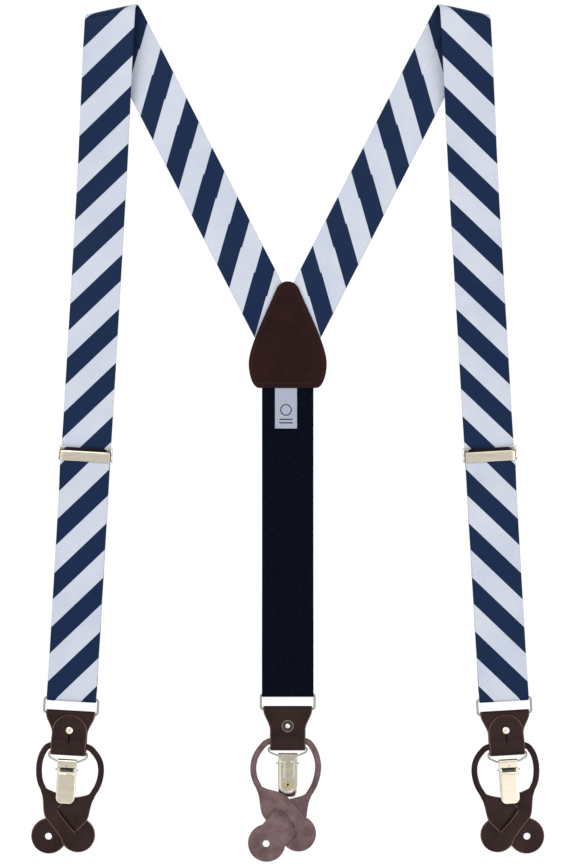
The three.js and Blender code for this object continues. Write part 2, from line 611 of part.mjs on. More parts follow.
const frontLeg = (name, side) => {
  const leg = legHardware(name, frontLoop, -side);
  leg.add(
    piece(`strap_under_${name}`, underRun(), navySatin),
    piece(`strap_over_${name}`, overRun(), navySatin),
  );
  const buckle = new THREE.Group();
  buckle.name = `buckle_${name}`;
  buckle.position.y = layout.adjusterUp;
  buckle.add(
    piece(`adjuster_frame_${name}`, adjusterFrame(), nickel),
    piece(`adjuster_lever_${name}`, adjusterLever(), nickel),
  );
  leg.add(buckle);
  leg.position.set(side * layout.ringX, layout.ringY, 0);
  leg.rotation.z = side * frontLean;
  return leg;
};

const backLeg = () => {
  const leg = legHardware("back", backLoop, -1);
  leg.add(piece("elastic_end", elasticEnd(), navyWebbing));
  leg.position.set(0, layout.backRingY, backLegHeight);
  leg.rotation.y = Math.PI;
  return leg;
};

const yokeShape = () => {
  const { width, height, tipRadius: tip, flatBottom, widestUp } = yoke;
  const half = width / 2;
  const shape = new THREE.Shape();
  shape.moveTo(-flatBottom / 2, 0);
  shape.lineTo(flatBottom / 2, 0);
  shape.bezierCurveTo(flatBottom / 2 + 4, 0, half, widestUp - 9, half, widestUp);
  shape.bezierCurveTo(half, widestUp + 12, tip + 8, height - 26, tip * 0.95, height - tip * 0.75);
  shape.bezierCurveTo(tip * 0.55, height + 0.5, -tip * 0.55, height + 0.5, -tip * 0.95, height - tip * 0.75);
  shape.bezierCurveTo(-tip - 8, height - 26, -half, widestUp + 12, -half, widestUp);
  shape.bezierCurveTo(-half, widestUp - 9, -flatBottom / 2 - 4, 0, -flatBottom / 2, 0);
  return shape;
};

const yokeLeather = (low) => slab(yokeShape(), low, low + leather.thick).translate(0, yoke.bottomY, 0);

const yokeRamp = [yoke.bottomY - 50, yoke.bottomY - 4]; // where the elastic comes down from the yoke
const elasticRun = () => {
  const top = yoke.bottomY + yoke.meetUp - gap;
  const bottom = layout.backRingY + 4;
  const ringLevel = backLegHeight - strapLow;
  const height = (y) => elasticWebbing.thick / 2 + yokeStrapLow * smooth(y, ...yokeRamp)
    + (ringLevel - elasticWebbing.thick / 2) * (1 - smooth(y, bottom + 24, bottom + 90));
  const midLine = linePoints(bottom, top, 48, height);
  return sheetAcross(midLine, elasticWebbing.thick, () => elasticWebbing.width / 2);
};

const yokeFrontLow = yokeStrapLow + Math.max(strap.thick, elasticWebbing.thick) + gap;
const wovenLabel = () => {
  const over = yokeStrapLow + elasticWebbing.thick + gap;
  const top = yoke.bottomY - gap;
  const height = (y) => over + label.thick / 2 - yokeStrapLow * (1 - smooth(y, ...yokeRamp));
  return sheetAcross(linePoints(top - label.length, top, 10, height), label.thick, () => label.width / 2);
};

const suspenders = new THREE.Group();
suspenders.add(
  piece("yoke_back", yokeLeather(0), brownLeather),
  piece("yoke_front", yokeLeather(yokeFrontLow), brownLeather),
  piece("label", wovenLabel(), wovenWhite),
  piece("elastic", elasticRun(), navyWebbing),
  frontLeg("left", -1),
  frontLeg("right", 1),
  backLeg(),
);
for (const [name, side] of [["left", -1], ["right", 1]]) {
  suspenders.add(
    piece(`strap_back_${name}`, onSide(side, backStrap()), navySatin),
    piece(`strap_chest_${name}`, onSide(side, chestStrap()), navySatin),
  );
}

// The origin is under the middle of the whole object, on the floor.
const bounds = new THREE.Box3().setFromObject(suspenders, true);
const middle = bounds.getCenter(new THREE.Vector3());
suspenders.position.set(-middle.x, -middle.y, -bounds.min.z);

export default suspenders;
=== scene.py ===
import json
import math
import bmesh
import bpy
import numpy as np
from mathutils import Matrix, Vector


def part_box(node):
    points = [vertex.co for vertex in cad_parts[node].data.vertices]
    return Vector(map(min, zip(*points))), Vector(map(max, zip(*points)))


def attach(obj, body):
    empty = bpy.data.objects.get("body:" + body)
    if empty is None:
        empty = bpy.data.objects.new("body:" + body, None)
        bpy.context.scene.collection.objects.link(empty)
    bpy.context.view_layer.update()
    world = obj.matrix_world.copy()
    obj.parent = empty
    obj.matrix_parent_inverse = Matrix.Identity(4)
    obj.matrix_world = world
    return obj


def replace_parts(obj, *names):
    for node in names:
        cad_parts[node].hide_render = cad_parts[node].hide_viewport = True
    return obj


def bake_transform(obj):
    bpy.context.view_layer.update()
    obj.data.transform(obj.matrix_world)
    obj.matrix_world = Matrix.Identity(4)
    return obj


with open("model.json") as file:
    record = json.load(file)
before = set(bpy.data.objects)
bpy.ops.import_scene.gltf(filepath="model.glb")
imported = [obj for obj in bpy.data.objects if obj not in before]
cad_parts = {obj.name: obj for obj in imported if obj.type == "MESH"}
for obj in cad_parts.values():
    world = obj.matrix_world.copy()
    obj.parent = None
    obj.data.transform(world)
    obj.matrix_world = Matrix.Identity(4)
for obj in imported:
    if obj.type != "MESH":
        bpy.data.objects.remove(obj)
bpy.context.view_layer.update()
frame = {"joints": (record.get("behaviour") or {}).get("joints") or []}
mm = 0.001
joints = {joint["name"]: joint for joint in frame["joints"]}
legNames = ("left", "right", "back")
sideSign = {"left": -1.0, "right": 1.0}
print("frame loaded")

# camera, light and floor
view = {"lens": 85.0, "sensor": 36.0, "height": 0.6048, "x": 0.0002, "y": 0.0001}
light = {"dome": 1.5, "horizon": 0.06, "key": 2.6, "floor": 1.02}


def addCamera():
    data = bpy.data.cameras.new("camera")
    data.lens = view["lens"]
    data.sensor_fit = "VERTICAL"
    data.sensor_height = view["sensor"]
    data.clip_end = 20
    camera = bpy.data.objects.new("camera", data)
    camera.location = (view["x"], view["y"], view["height"] * view["lens"] / view["sensor"])
    bpy.context.scene.collection.objects.link(camera)
    bpy.context.scene.camera = camera


def addWorld():
    # A sky by height: calm straight overhead, bright round it, dark at the horizon.
    world = bpy.data.worlds.new("studio")
    bpy.context.scene.world = world
    world.use_nodes = True
    nodes = world.node_tree.nodes
    links = world.node_tree.links
    nodes.clear()
    direction = nodes.new("ShaderNodeTexCoord")
    split = nodes.new("ShaderNodeSeparateXYZ")
    ramp = nodes.new("ShaderNodeValToRGB")
    background = nodes.new("ShaderNodeBackground")
    output = nodes.new("ShaderNodeOutputWorld")
    links.new(direction.outputs["Generated"], split.inputs[0])
    links.new(split.outputs["Z"], ramp.inputs["Fac"])
    links.new(ramp.outputs["Color"], background.inputs["Color"])
    links.new(background.outputs[0], output.inputs["Surface"])
    stops = [(0.0, 0.9), (0.02, light["horizon"]), (0.34, light["horizon"]), (0.5, 1.0), (0.93, 1.0),
        (0.985, 0.55)]
    elements = ramp.color_ramp.elements
    while len(elements) < len(stops):
        elements.new(0.5)
    for element, (place, level) in zip(elements, stops):
        element.position = place
        element.color = (level, level, level * 1.01, 1)
    background.inputs["Strength"].default_value = light["dome"]


def addLight(name, place, size, power):
    data = bpy.data.lights.new(name, "AREA")
    data.size = size
    data.energy = power
    lamp = bpy.data.objects.new(name, data)
    lamp.location = place
    lamp.rotation_euler = (-Vector(place)).to_track_quat("-Z", "Y").to_euler()
    bpy.context.scene.collection.objects.link(lamp)


def shader(name, roughness, metallic=0.0, specular=0.5):
    material = bpy.data.materials.new(name)
    material.use_nodes = True
    node = material.node_tree.nodes["Principled BSDF"]
    node.inputs["Roughness"].default_value = roughness
    node.inputs["Metallic"].default_value = metallic
    node.inputs["Specular IOR Level"].default_value = specular
    return material, node


def addFloor():
    reach = 3.0
    mesh = bpy.data.meshes.new("floor")
    drop = -0.0002
    corners = [(-reach, -reach, drop), (reach, -reach, drop), (reach, reach, drop), (-reach, reach, drop)]
    mesh.from_pydata(corners, [], [(0, 1, 2, 3)])
    material, node = shader("floorPaper", 0.9, specular=0.0)
    node.inputs["Base Color"].default_value = (0, 0, 0, 1)
    node.inputs["Emission Color"].default_value = (1, 1, 1, 1)
    node.inputs["Emission Strength"].default_value = light["floor"]
    mesh.materials.append(material)
    floor = bpy.data.objects.new("floor", mesh)
    bpy.context.scene.collection.objects.link(floor)


addCamera()
addWorld()
addLight("keyLight", (-0.7, 0.9, 1.5), 0.9, light["key"] * 4)
addLight("fillLight", (0.9, -0.5, 1.4), 1.2, light["key"] * 2)
addFloor()
bpy.context.scene.view_settings.view_transform = "Standard"
print("studio ready")


# materials
def addNode(tree, kind, inputs=None, **settings):
    made = tree.nodes.new(kind)
    for key, value in settings.items():
        setattr(made, key, value)
    for key, value in (inputs or {}).items():
        if isinstance(value, bpy.types.NodeSocket):
            tree.links.new(value, made.inputs[key])
        else:
            made.inputs[key].default_value = value
    return made


def ramp(tree, factor, stops, interpolation="LINEAR"):
    made = addNode(tree, "ShaderNodeValToRGB", {"Fac": factor})
    made.color_ramp.interpolation = interpolation
    elements = made.color_ramp.elements
    while len(elements) < len(stops):
        elements.new(0.5)
    for element, (place, colour) in zip(elements, stops):
        element.position = place
        element.color = (*colour, 1)
    return made.outputs["Color"]


def grey(level):
    return (level, level, level)


def blendColour(tree, factor, first, second, mode="MIX"):
    made = addNode(tree, "ShaderNodeMix", data_type="RGBA", blend_type=mode)
    for index, value in ((0, factor), (6, first), (7, second)):
        if isinstance(value, bpy.types.NodeSocket):
            tree.links.new(value, made.inputs[index])
        else:
            made.inputs[index].default_value = value if index == 0 else (*value, 1)
    return made.outputs[2]


def math2(tree, operation, first, second=0.0):
    return addNode(tree, "ShaderNodeMath", {0: first, 1: second}, operation=operation).outputs[0]


def objectNoise(tree, scale, detail=3.0, stretch=(1, 1, 1)):
    place = addNode(tree, "ShaderNodeTexCoord").outputs["Object"]
    turned = addNode(tree, "ShaderNodeMapping", {"Vector": place, "Scale": stretch}).outputs[0]
    return addNode(tree, "ShaderNodeTexNoise",
        {"Vector": turned, "Scale": scale, "Detail": detail}).outputs["Fac"]


def setBump(tree, node, height, distance, strength=1.0):
    bump = addNode(tree, "ShaderNodeBump", {"Height": height, "Distance": distance, "Strength": strength})
    tree.links.new(bump.outputs[0], node.inputs["Normal"])


satin = {
    "navy": (0.0016, 0.0122, 0.0445), "white": (0.475, 0.495, 0.55), "navyShare": 0.48, "edge": 0.006,
    "threadPitch": 0.42, "rough": 0.42, "sheen": 0.03,
}


def satinMaterial():
    # Stripes by the whole number part of the stripe coordinate, threads by sines across and on the slant.
    material, node = shader("stripedSatin", satin["rough"], specular=0.1)
    tree = material.node_tree
    stripe = addNode(tree, "ShaderNodeUVMap", uv_map="stripes").outputs[0]
    phase = addNode(tree, "ShaderNodeSeparateXYZ", {0: stripe}).outputs["X"]
    weave = addNode(tree, "ShaderNodeUVMap", uv_map="weave").outputs[0]
    across, along = addNode(tree, "ShaderNodeSeparateXYZ", {0: weave}).outputs[:2]
    share, edge = satin["navyShare"], satin["edge"]
    navy, white = satin["navy"], satin["white"]
    stops = [(0, navy), (share, navy), (share + edge, white), (1 - edge, white), (1, navy)]
    colour = ramp(tree, math2(tree, "FRACT", phase), stops)
    turn = 2 * math.pi / satin["threadPitch"]
    warp = math2(tree, "SINE", math2(tree, "MULTIPLY", across, turn))
    slant = math2(tree, "MULTIPLY", math2(tree, "ADD", across, along), turn * 0.8)
    twill = math2(tree, "SINE", slant)
    threads = math2(tree, "ADD", math2(tree, "MULTIPLY", warp, 0.6), math2(tree, "MULTIPLY", twill, 0.4))
    tone = ramp(tree, math2(tree, "ADD", math2(tree, "MULTIPLY", threads, 0.5), 0.5),
        [(0, grey(0.9)), (1, grey(1.0))])
    colour = blendColour(tree, 1.0, colour, tone, "MULTIPLY")
    cloud = ramp(tree, objectNoise(tree, 28, 2), [(0.3, (0.86, 0.9, 0.96)), (0.7, (1.0, 1.0, 1.0))])
    colour = blendColour(tree, 1.0, colour, cloud, "MULTIPLY")
    tree.links.new(colour, node.inputs["Base Color"])
    node.inputs["Sheen Weight"].default_value = satin["sheen"]
    node.inputs["Sheen Roughness"].default_value = 0.35
    node.inputs["Sheen Tint"].default_value = (0.7, 0.82, 1.0, 1)
    setBump(tree, node, threads, 0.00004, 0.5)
    return material


def webbingMaterial():
    material, node = shader("elasticWebbing", 0.8, specular=0.03)
    tree = material.node_tree
    fine = objectNoise(tree, 900, 2, (1, 0.35, 1))
    colour = ramp(tree, fine, [(0.3, (0.0008, 0.0013, 0.0038)), (0.75, (0.0024, 0.0036, 0.0095))])
    tree.links.new(colour, node.inputs["Base Color"])
    setBump(tree, node, fine, 0.0001, 0.6)
    return material


# The edge colour is a painted highlight, laid on the rim of every leather piece.
leatherLook = {
    "dark": (0.0145, 0.0066, 0.0058), "light": (0.0265, 0.0135, 0.012), "paintedEdgeHighlight": (0.12, 0.066, 0.056),
    "pores": 1500, "creases": 260, "rough": 0.5,
}
yokeLook = {**leatherLook, "dark": (0.0085, 0.0014, 0.001), "light": (0.0158, 0.0034, 0.0027),
    "paintedEdgeHighlight": (0.03, 0.011, 0.009)}
suedeLook = {"dark": (0.095, 0.056, 0.058), "light": (0.175, 0.114, 0.118)}


def leatherMaterial(name, look):
    # Smooth side: soft clouds of colour, fine pores and a few creases; the cut edge gets a paler painted
    # highlight.
    material, node = shader(name, look["rough"], specular=0.08)
    tree = material.node_tree
    place = addNode(tree, "ShaderNodeTexCoord").outputs["Object"]
    cloud = objectNoise(tree, 60, 4)
    colour = ramp(tree, cloud, [(0.3, look["dark"]), (0.72, look["light"])])
    rim = addNode(tree, "ShaderNodeAttribute", attribute_name="rim").outputs["Fac"]
    colour = blendColour(tree, rim, colour, look["paintedEdgeHighlight"])
    tree.links.new(colour, node.inputs["Base Color"])
    pores = addNode(tree, "ShaderNodeTexVoronoi", {"Vector": place, "Scale": look["pores"]})
    creases = objectNoise(tree, look["creases"], 5)
    height = math2(tree, "ADD", math2(tree, "MULTIPLY", pores.outputs["Distance"], 0.5), creases)
    setBump(tree, node, height, 0.00014, 0.5)
    gloss = ramp(tree, creases, [(0.35, grey(0.42)), (0.7, grey(0.6))])
    tree.links.new(gloss, node.inputs["Roughness"])
    return material


def suedeMaterial():
    material, node = shader("suedeFleshSide", 0.95, specular=0.08)
    tree = material.node_tree
    nap = objectNoise(tree, 1400, 4)
    cloud = objectNoise(tree, 120, 3)
    colour = ramp(tree, cloud, [(0.3, suedeLook["dark"]), (0.7, suedeLook["light"])])
    grain = ramp(tree, nap, [(0.3, grey(0.72)), (0.7, grey(1.0))])
    colour = blendColour(tree, 1.0, colour, grain, "MULTIPLY")
    tree.links.new(colour, node.inputs["Base Color"])
    node.inputs["Sheen Weight"].default_value = 0.12
    setBump(tree, node, nap, 0.0002, 0.8)
    return material


def metalMaterial(name, colour, rough, brushed=0.0):
    # Plating with a faint cloud in its gloss and fine rubbing marks.
    material, node = shader(name, rough, metallic=1.0)
    tree = material.node_tree
    marks = objectNoise(tree, 700, 3, (0.15, 1, 1))
    tone = ramp(tree, marks, [(0.3, tuple(0.93 * c for c in colour)), (0.7, colour)])
    tree.links.new(tone, node.inputs["Base Color"])
    gloss = ramp(tree, marks, [(0.3, grey(rough * 0.85)), (0.7, grey(rough * 1.2))])
    tree.links.new(gloss, node.inputs["Roughness"])
    setBump(tree, node, marks, 0.00003, 0.25 + brushed)
    return material


def labelMaterial():
    # White tape with woven ribs across, and a generic mark of navy bars and a ring.
    material, node = shader("wovenTape", 0.75, specular=0.1)
    tree = material.node_tree
    weave = addNode(tree, "ShaderNodeUVMap", uv_map="weave").outputs[0]
    across, along = addNode(tree, "ShaderNodeSeparateXYZ", {0: weave}).outputs[:2]
    ribs = math2(tree, "SINE", math2(tree, "MULTIPLY", along, 2 * math.pi / 0.5))
    ground = ramp(tree, math2(tree, "ADD", math2(tree, "MULTIPLY", ribs, 0.5), 0.5),
        [(0, (0.26, 0.28, 0.35)), (1, (0.325, 0.345, 0.415))])
    bars = {"first": 4.0, "second": 6.4, "thick": 0.45, "reach": 4.6}
    mark = None
    for height in (bars["first"], bars["second"]):
        near = math2(tree, "COMPARE", along, height)
        near.node.inputs[2].default_value = bars["thick"]
        mark = near if mark is None else math2(tree, "MAXIMUM", mark, near)
    inside = math2(tree, "LESS_THAN", math2(tree, "ABSOLUTE", across), bars["reach"])
    mark = math2(tree, "MULTIPLY", mark, inside)
    centre = addNode(tree, "ShaderNodeCombineXYZ", {"X": 0.0, "Y": 13.0}).outputs[0]
    away = addNode(tree, "ShaderNodeVectorMath", {0: weave, 1: centre},
        operation="DISTANCE").outputs["Value"]
    ring = math2(tree, "COMPARE", away, 3.7)
    ring.node.inputs[2].default_value = 0.4
    mark = math2(tree, "MAXIMUM", mark, ring)
    colour = blendColour(tree, mark, ground, (0.03, 0.035, 0.06))
    tree.links.new(colour, node.inputs["Base Color"])
    setBump(tree, node, ribs, 0.00008, 0.5)
    return material


def plainMaterial(name, colour, rough, specular=0.4):
    material, node = shader(name, rough, specular=specular)
    tree = material.node_tree
    grain = objectNoise(tree, 600, 3)
    tone = ramp(tree, grain, [(0.3, tuple(0.75 * c for c in colour)), (0.7, colour)])
    tree.links.new(tone, node.inputs["Base Color"])
    setBump(tree, node, grain, 0.00008, 0.4)
    return material


looks = {
    "satin": satinMaterial(), "webbing": webbingMaterial(),
    "leather": leatherMaterial("brownLeather", leatherLook),
    "yokeLeather": leatherMaterial("darkLeather", yokeLook),
    "suede": suedeMaterial(), "nickel": metalMaterial("warmNickel", (0.63, 0.575, 0.465), 0.2),
    "wire": metalMaterial("nickelWire", (0.3, 0.29, 0.27), 0.26),
    "plate": metalMaterial("dullNickel", (0.4, 0.37, 0.3), 0.3),
    # Near-black plating for the lever's slope: a painted dark reflection.
    "shade": metalMaterial("shadedNickel", (0.03, 0.03, 0.03), 0.3),
    "brass": metalMaterial("brass", (0.5, 0.36, 0.15), 0.3),
    "rubber": plainMaterial("blackRubber", (0.012, 0.012, 0.013), 0.6), "tape": labelMaterial(),
    "thread": plainMaterial("brownThread", (0.05, 0.026, 0.022), 0.7, 0.2),
}
print("materials ready")


# surfaces
def gridFaces(rows, columns, closed=True):
    # Quads between neighbouring rows of a grid; a closed grid also joins the last column to the first.
    spans = columns if closed else columns - 1
    row, column = np.meshgrid(np.arange(rows - 1), np.arange(spans), indexing="ij")
    after = (column + 1) % columns
    corners = [row * columns + column, row * columns + after, (row + 1) * columns + after,
        (row + 1) * columns + column]
    return np.stack(corners, -1).reshape(-1, 4)


def enclosed(points, faces):
    # Signed volume of a closed mesh of quads: six times the sum of its corner tetrahedra.
    a, b, c, d = (points[faces[:, n]] for n in range(4))
    return float((a * np.cross(b, c)).sum() + (a * np.cross(c, d)).sum())


def addPiece(name, parts, look, body=None, uv=None):
    # parts: (points (rows, columns, 3) in metres, closed, capped, attributes) of one mesh, each a closed
    # skin.
    vertices, faces, caps, start = [], [], [], 0
    rim, fleshAndShade, phases, weaves = [], [], [], []
    for part in parts:
        grid = part["points"]
        rows, columns = grid.shape[:2]
        points = grid.reshape(-1, 3)
        quads = gridFaces(rows, columns, part.get("closed", True))
        ends = [np.arange(columns)[::-1], np.arange(columns) + (rows - 1) * columns] if part.get("capped",
            True) else []
        if enclosed(points - points.mean(0), quads) < 0:
            quads = quads[:, ::-1]
            ends = [end[::-1] for end in ends]
        vertices.append(points)
        faces.append(quads + start)
        caps += [end + start for end in ends]
        rim.append(np.broadcast_to(part.get("rim", 0.0), (rows, columns)).ravel())
        fleshAndShade.append(np.broadcast_to(part.get("fleshAndShade", False), (rows, columns)).ravel())
        if uv:
            phases.append(part["phase"].ravel())
            weaves.append(part["weave"].reshape(-1, 2))
        start += len(points)
    vertices = np.concatenate(vertices)
    faces = np.concatenate(faces)
    mesh = bpy.data.meshes.new(name)
    loops = np.concatenate([faces.ravel(), *caps]) if caps else faces.ravel()
    totals = np.concatenate([np.full(len(faces), 4), [len(cap) for cap in caps]]).astype(int)
    mesh.vertices.add(len(vertices))
    mesh.vertices.foreach_set("co", vertices.astype(np.float32).ravel())
    mesh.loops.add(len(loops))
    mesh.loops.foreach_set("vertex_index", loops.astype(np.int32))
    mesh.polygons.add(len(totals))
    mesh.polygons.foreach_set("loop_start", (np.cumsum(totals) - totals).astype(np.int32))
    mesh.polygons.foreach_set("loop_total", totals.astype(np.int32))
    mesh.update(calc_edges=True)
    mesh.shade_smooth()
    mesh.attributes.new("rim", "FLOAT", "POINT").data.foreach_set("value",
        np.concatenate(rim).astype(np.float32))
    for key in [look] if isinstance(look, str) else look:
        mesh.materials.append(looks[key])
    if not isinstance(look, str):
        onFleshAndShade = np.concatenate(fleshAndShade)
        index = onFleshAndShade[faces].all(1).astype(np.int32)
        mesh.polygons.foreach_set("material_index", np.concatenate([index, np.zeros(len(caps), np.int32)]))
    if uv:
        addStripes(mesh, np.concatenate(phases), np.concatenate(weaves), loops, totals)
    piece = bpy.data.objects.new(name, mesh)
    bpy.context.scene.collection.objects.link(piece)
    weld(mesh)
    if body:
        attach(piece, body)
    return piece


def addStripes(mesh, phase, weave, loops, totals):
    # A face's corners keep within half a stripe of its first corner, so no face spans a jump.
    first = np.repeat(np.cumsum(totals) - totals, totals)
    corner = phase[loops]
    corner = corner - np.round(corner - corner[first])
    stripes = mesh.uv_layers.new(name="stripes")
    stripes.data.foreach_set("uv", np.stack([corner, 0.5 + 0 * corner], -1).astype(np.float32).ravel())
    threads = mesh.uv_layers.new(name="weave")
    threads.data.foreach_set("uv", weave[loops].astype(np.float32).ravel())


def weld(mesh, distance=2e-6):
    work = bmesh.new()
    work.from_mesh(mesh)
    bmesh.ops.remove_doubles(work, verts=work.verts, dist=distance)
    work.to_mesh(mesh)
    work.free()
    mesh.set_sharp_from_angle(angle=math.radians(50))


def smoothStep(value, low, high):
    share = np.clip((np.asarray(value, float) - low) / (high - low), 0, 1)
    return share * share * (3 - 2 * share)


def bandSection(spread, cornerSteps=3, hem=()):
    # Closed section of a flat band: underside, right edge, top, left edge. Columns: place across the middle
    # (-1..1), side (-1, 0, 1) and inset of the hem, then the corner's own across and up, and which face.
    inner = [(place, 0.0, 0.0) for place in spread]
    hemmed = [(1.0, 1.0, inset) for inset in hem]
    under = [(-1.0, -1.0, inset) for inset in reversed(hem)] + inner + hemmed
    rows = [(f, s, i, 0.0, -1.0, -1.0) for f, s, i in under]
    angles = np.radians(np.linspace(-90, 90, 2 * cornerSteps + 1)[1:-1])
    rows += [(1.0, 2.0, 0.0, math.cos(a), math.sin(a), float(np.sign(np.round(a, 6)))) for a in angles]
    rows += [(f, s, i, 0.0, 1.0, 1.0) for f, s, i in reversed(under)]
    rows += [(-1.0, -2.0, 0.0, -math.cos(a), math.sin(a),
        float(np.sign(np.round(a, 6)))) for a in angles[::-1]]
    return np.array(rows).T


def bandOffsets(section, half, thick, corner, hemWidth=0.0):
    # Across and height of every point of the section, for rows of half widths and thicknesses.
    place, side, inset, cornerAcross, cornerUp, face = section
    half, thick = np.asarray(half, float)[:, None], np.asarray(thick, float)[:, None]
    radius = np.minimum(np.minimum(corner, thick / 2), half)
    flat = half - radius
    edge = np.minimum(hemWidth, flat)
    middle = place * (flat - edge)
    hemmed = np.sign(side) * np.where(np.abs(side) == 2, edge, edge * (1 - inset))
    across = middle + hemmed + cornerAcross * radius
    height = face * (thick / 2 - radius) + cornerUp * radius
    return across, height


def carried(centre, across, up, offsets):
    # Rows of a section set square to a path: centre + across * offset + up * height.
    sideways, height = offsets
    return centre[:, None] + across[:, None] * sideways[..., None] + up[:, None] * height[..., None]


def roundedEnds(length, step, radius, first=True, last=True):
    # Stations along a band, with extra ones where its ends round off, and how far each draws in.
    stations = np.linspace(0, length, max(3, int(round(length / step)) + 1))
    extra = radius * (1 - np.cos(np.radians([0, 30, 60, 90])))
    kept = stations[(stations > radius) & (stations < length - radius)]
    stations = np.concatenate([extra, kept, length - extra[::-1]])
    near = np.full(len(stations), 1e9)
    if first:
        near = np.minimum(near, stations)
    if last:
        near = np.minimum(near, length - stations)
    inset = radius - np.sqrt(np.maximum(radius ** 2 - np.maximum(radius - near, 0) ** 2, 0))
    return stations, inset


def followed(path, stations):
    # Points and directions at lengths along a polyline, both interpolated between its corners.
    path = np.asarray(path, float)
    length = np.concatenate([[0], np.cumsum(np.linalg.norm(np.diff(path, axis=0), axis=1))])
    points = np.stack([np.interp(stations, length, path[:, n]) for n in range(3)], -1)
    tangents = np.gradient(path, length, axis=0)
    along = np.stack([np.interp(stations, length, tangents[:, n]) for n in range(3)], -1)
    return points, along / np.linalg.norm(along, axis=1, keepdims=True)


def pathLength(path):
    return float(np.linalg.norm(np.diff(np.asarray(path, float), axis=0), axis=1).sum())


def sideSheet(profile, halfAt, thick, corner, section, step=1.2, hemWidth=0.0, ends=(True, True)):
    # A sheet whose mid line is a profile in (y, z), its half width a function of y and of the length along.
    path = np.array([(0.0, y, z) for y, z in profile])
    stations, inset = roundedEnds(pathLength(path), step, corner, *ends)
    centre, along = followed(path, stations)
    up = np.stack([0 * stations, -along[:, 2], along[:, 1]], -1)
    across = np.tile([1.0, 0, 0], (len(stations), 1))
    half = np.maximum(halfAt(centre[:, 1], stations) - inset, 0.02)
    offsets = bandOffsets(section, half, thick - 2 * inset, corner, hemWidth)
    return carried(centre, across, up, offsets), stations, offsets


def catmull(points, count):
    # Centripetal Catmull-Rom curve through points, resampled at equal lengths.
    points = np.asarray(points, float)
    ends = np.vstack([2 * points[0] - points[1], points, 2 * points[-1] - points[-2]])
    curve = []
    for a, b, c, d in zip(ends, ends[1:], ends[2:], ends[3:]):
        t0 = 0.0
        t1 = t0 + math.sqrt(np.linalg.norm(b - a))
        t2 = t1 + math.sqrt(np.linalg.norm(c - b))
        t3 = t2 + math.sqrt(np.linalg.norm(d - c))
        t = np.linspace(t1, t2, 24, endpoint=False)[:, None]
        ab = (t1 - t) / (t1 - t0) * a + (t - t0) / (t1 - t0) * b
        bc = (t2 - t) / (t2 - t1) * b + (t - t1) / (t2 - t1) * c
        cd = (t3 - t) / (t3 - t2) * c + (t - t2) / (t3 - t2) * d
        abc = (t2 - t) / (t2 - t0) * ab + (t - t0) / (t2 - t0) * bc
        bcd = (t3 - t) / (t3 - t1) * bc + (t - t1) / (t3 - t1) * cd
        curve.append((t2 - t) / (t2 - t1) * abc + (t - t1) / (t2 - t1) * bcd)
    curve = np.vstack([*curve, points[-1:]])
    return followed(curve, np.linspace(0, pathLength(curve), count))[0]


def roundedPath(corners, radius, steps=8):
    # A polyline whose corners are quarter turns of a quadratic curve.
    corners = [np.array(corner, float) for corner in corners]
    points = [corners[0]]
    share = np.linspace(0, 1, steps + 1)[:, None]
    for before, corner, after in zip(corners, corners[1:], corners[2:]):
        a = corner + (before - corner) * min(radius / np.linalg.norm(before - corner), 0.5)
        b = corner + (after - corner) * min(radius / np.linalg.norm(after - corner), 0.5)
        points += list((1 - share) ** 2 * a + 2 * share * (1 - share) * corner + share ** 2 * b)
    points.append(corners[-1])
    kept = [points[0]] + [b for a, b in zip(points, points[1:]) if np.linalg.norm(b - a) > 1e-6]
    return np.array(kept)


def rod(path, radius, sides=16, step=0.5):
    # A round rod: circles square to a path, drawn in to a dome at both ends.
    length = pathLength(path)
    stations, inset = roundedEnds(length, step, radius)
    centre, along = followed(path, stations)
    across = np.cross(np.array([0.0, 0.0, 1.0]), along)
    across /= np.linalg.norm(across, axis=1, keepdims=True)
    up = np.cross(along, across)
    angle = np.linspace(0, 2 * math.pi, sides, endpoint=False)
    size = np.maximum(radius - inset, 0.01)[:, None]
    return {"points": carried(centre, across, up, (np.cos(angle) * size, np.sin(angle) * size))}


def turned(profile, x, y, sides=40):
    # A closed profile of (radius, height) turned round an upright line at x, y.
    profile = np.array(profile, float)
    angle = np.linspace(0, 2 * math.pi, sides, endpoint=False)
    radius, height = profile[:, :1], profile[:, 1:]
    points = np.stack([x + radius * np.cos(angle), y + radius * np.sin(angle), height + 0 * angle], -1)
    return {"points": points, "capped": False}


def box3(low, high, corner=0.15):
    # A small block with rounded long edges, carried along y.
    low, high = np.array(low, float), np.array(high, float)
    middle = (low + high) / 2
    section = bandSection(np.linspace(-1, 1, 3), 2)
    stations, inset = roundedEnds(high[1] - low[1], 1.0, corner)
    centre = np.stack([middle[0] + 0 * stations, low[1] + stations, middle[2] + 0 * stations], -1)
    across = np.tile([1.0, 0, 0], (len(stations), 1))
    up = np.tile([0.0, 0, 1.0], (len(stations), 1))
    half = (high[0] - low[0]) / 2 - inset
    return {"points": carried(centre, across, up,
        bandOffsets(section, half, high[2] - low[2] - 2 * inset, corner))}


def punched(piece, cutters):
    # Holes through a finished piece: each cutter is a closed skin, taken away by an exact boolean.
    for n, cutter in enumerate(cutters):
        tool = addPiece(f"cutter{n}", [cutter], "leather")
        cut = piece.modifiers.new("cut", "BOOLEAN")
        cut.object = tool
        cut.operation = "DIFFERENCE"
        cut.solver = "EXACT"
        graph = bpy.context.evaluated_depsgraph_get()
        made = bpy.data.meshes.new_from_object(piece.evaluated_get(graph))
        piece.modifiers.clear()
        kept = piece.data
        piece.data = made
        made.name = kept.name
        bpy.data.meshes.remove(kept)
        bpy.data.objects.remove(tool)
        made.set_sharp_from_angle(angle=math.radians(50))
    return piece


def arc(centreY, centreZ, radius, start, end, steps):
    angle = np.radians(np.linspace(start, end, steps + 1))
    return [(centreY + radius * math.cos(a), centreZ + radius * math.sin(a)) for a in angle]


def line(fromY, toY, steps, heightAt):
    return [(y, float(heightAt(y))) for y in np.linspace(fromY, toY, steps + 1)]


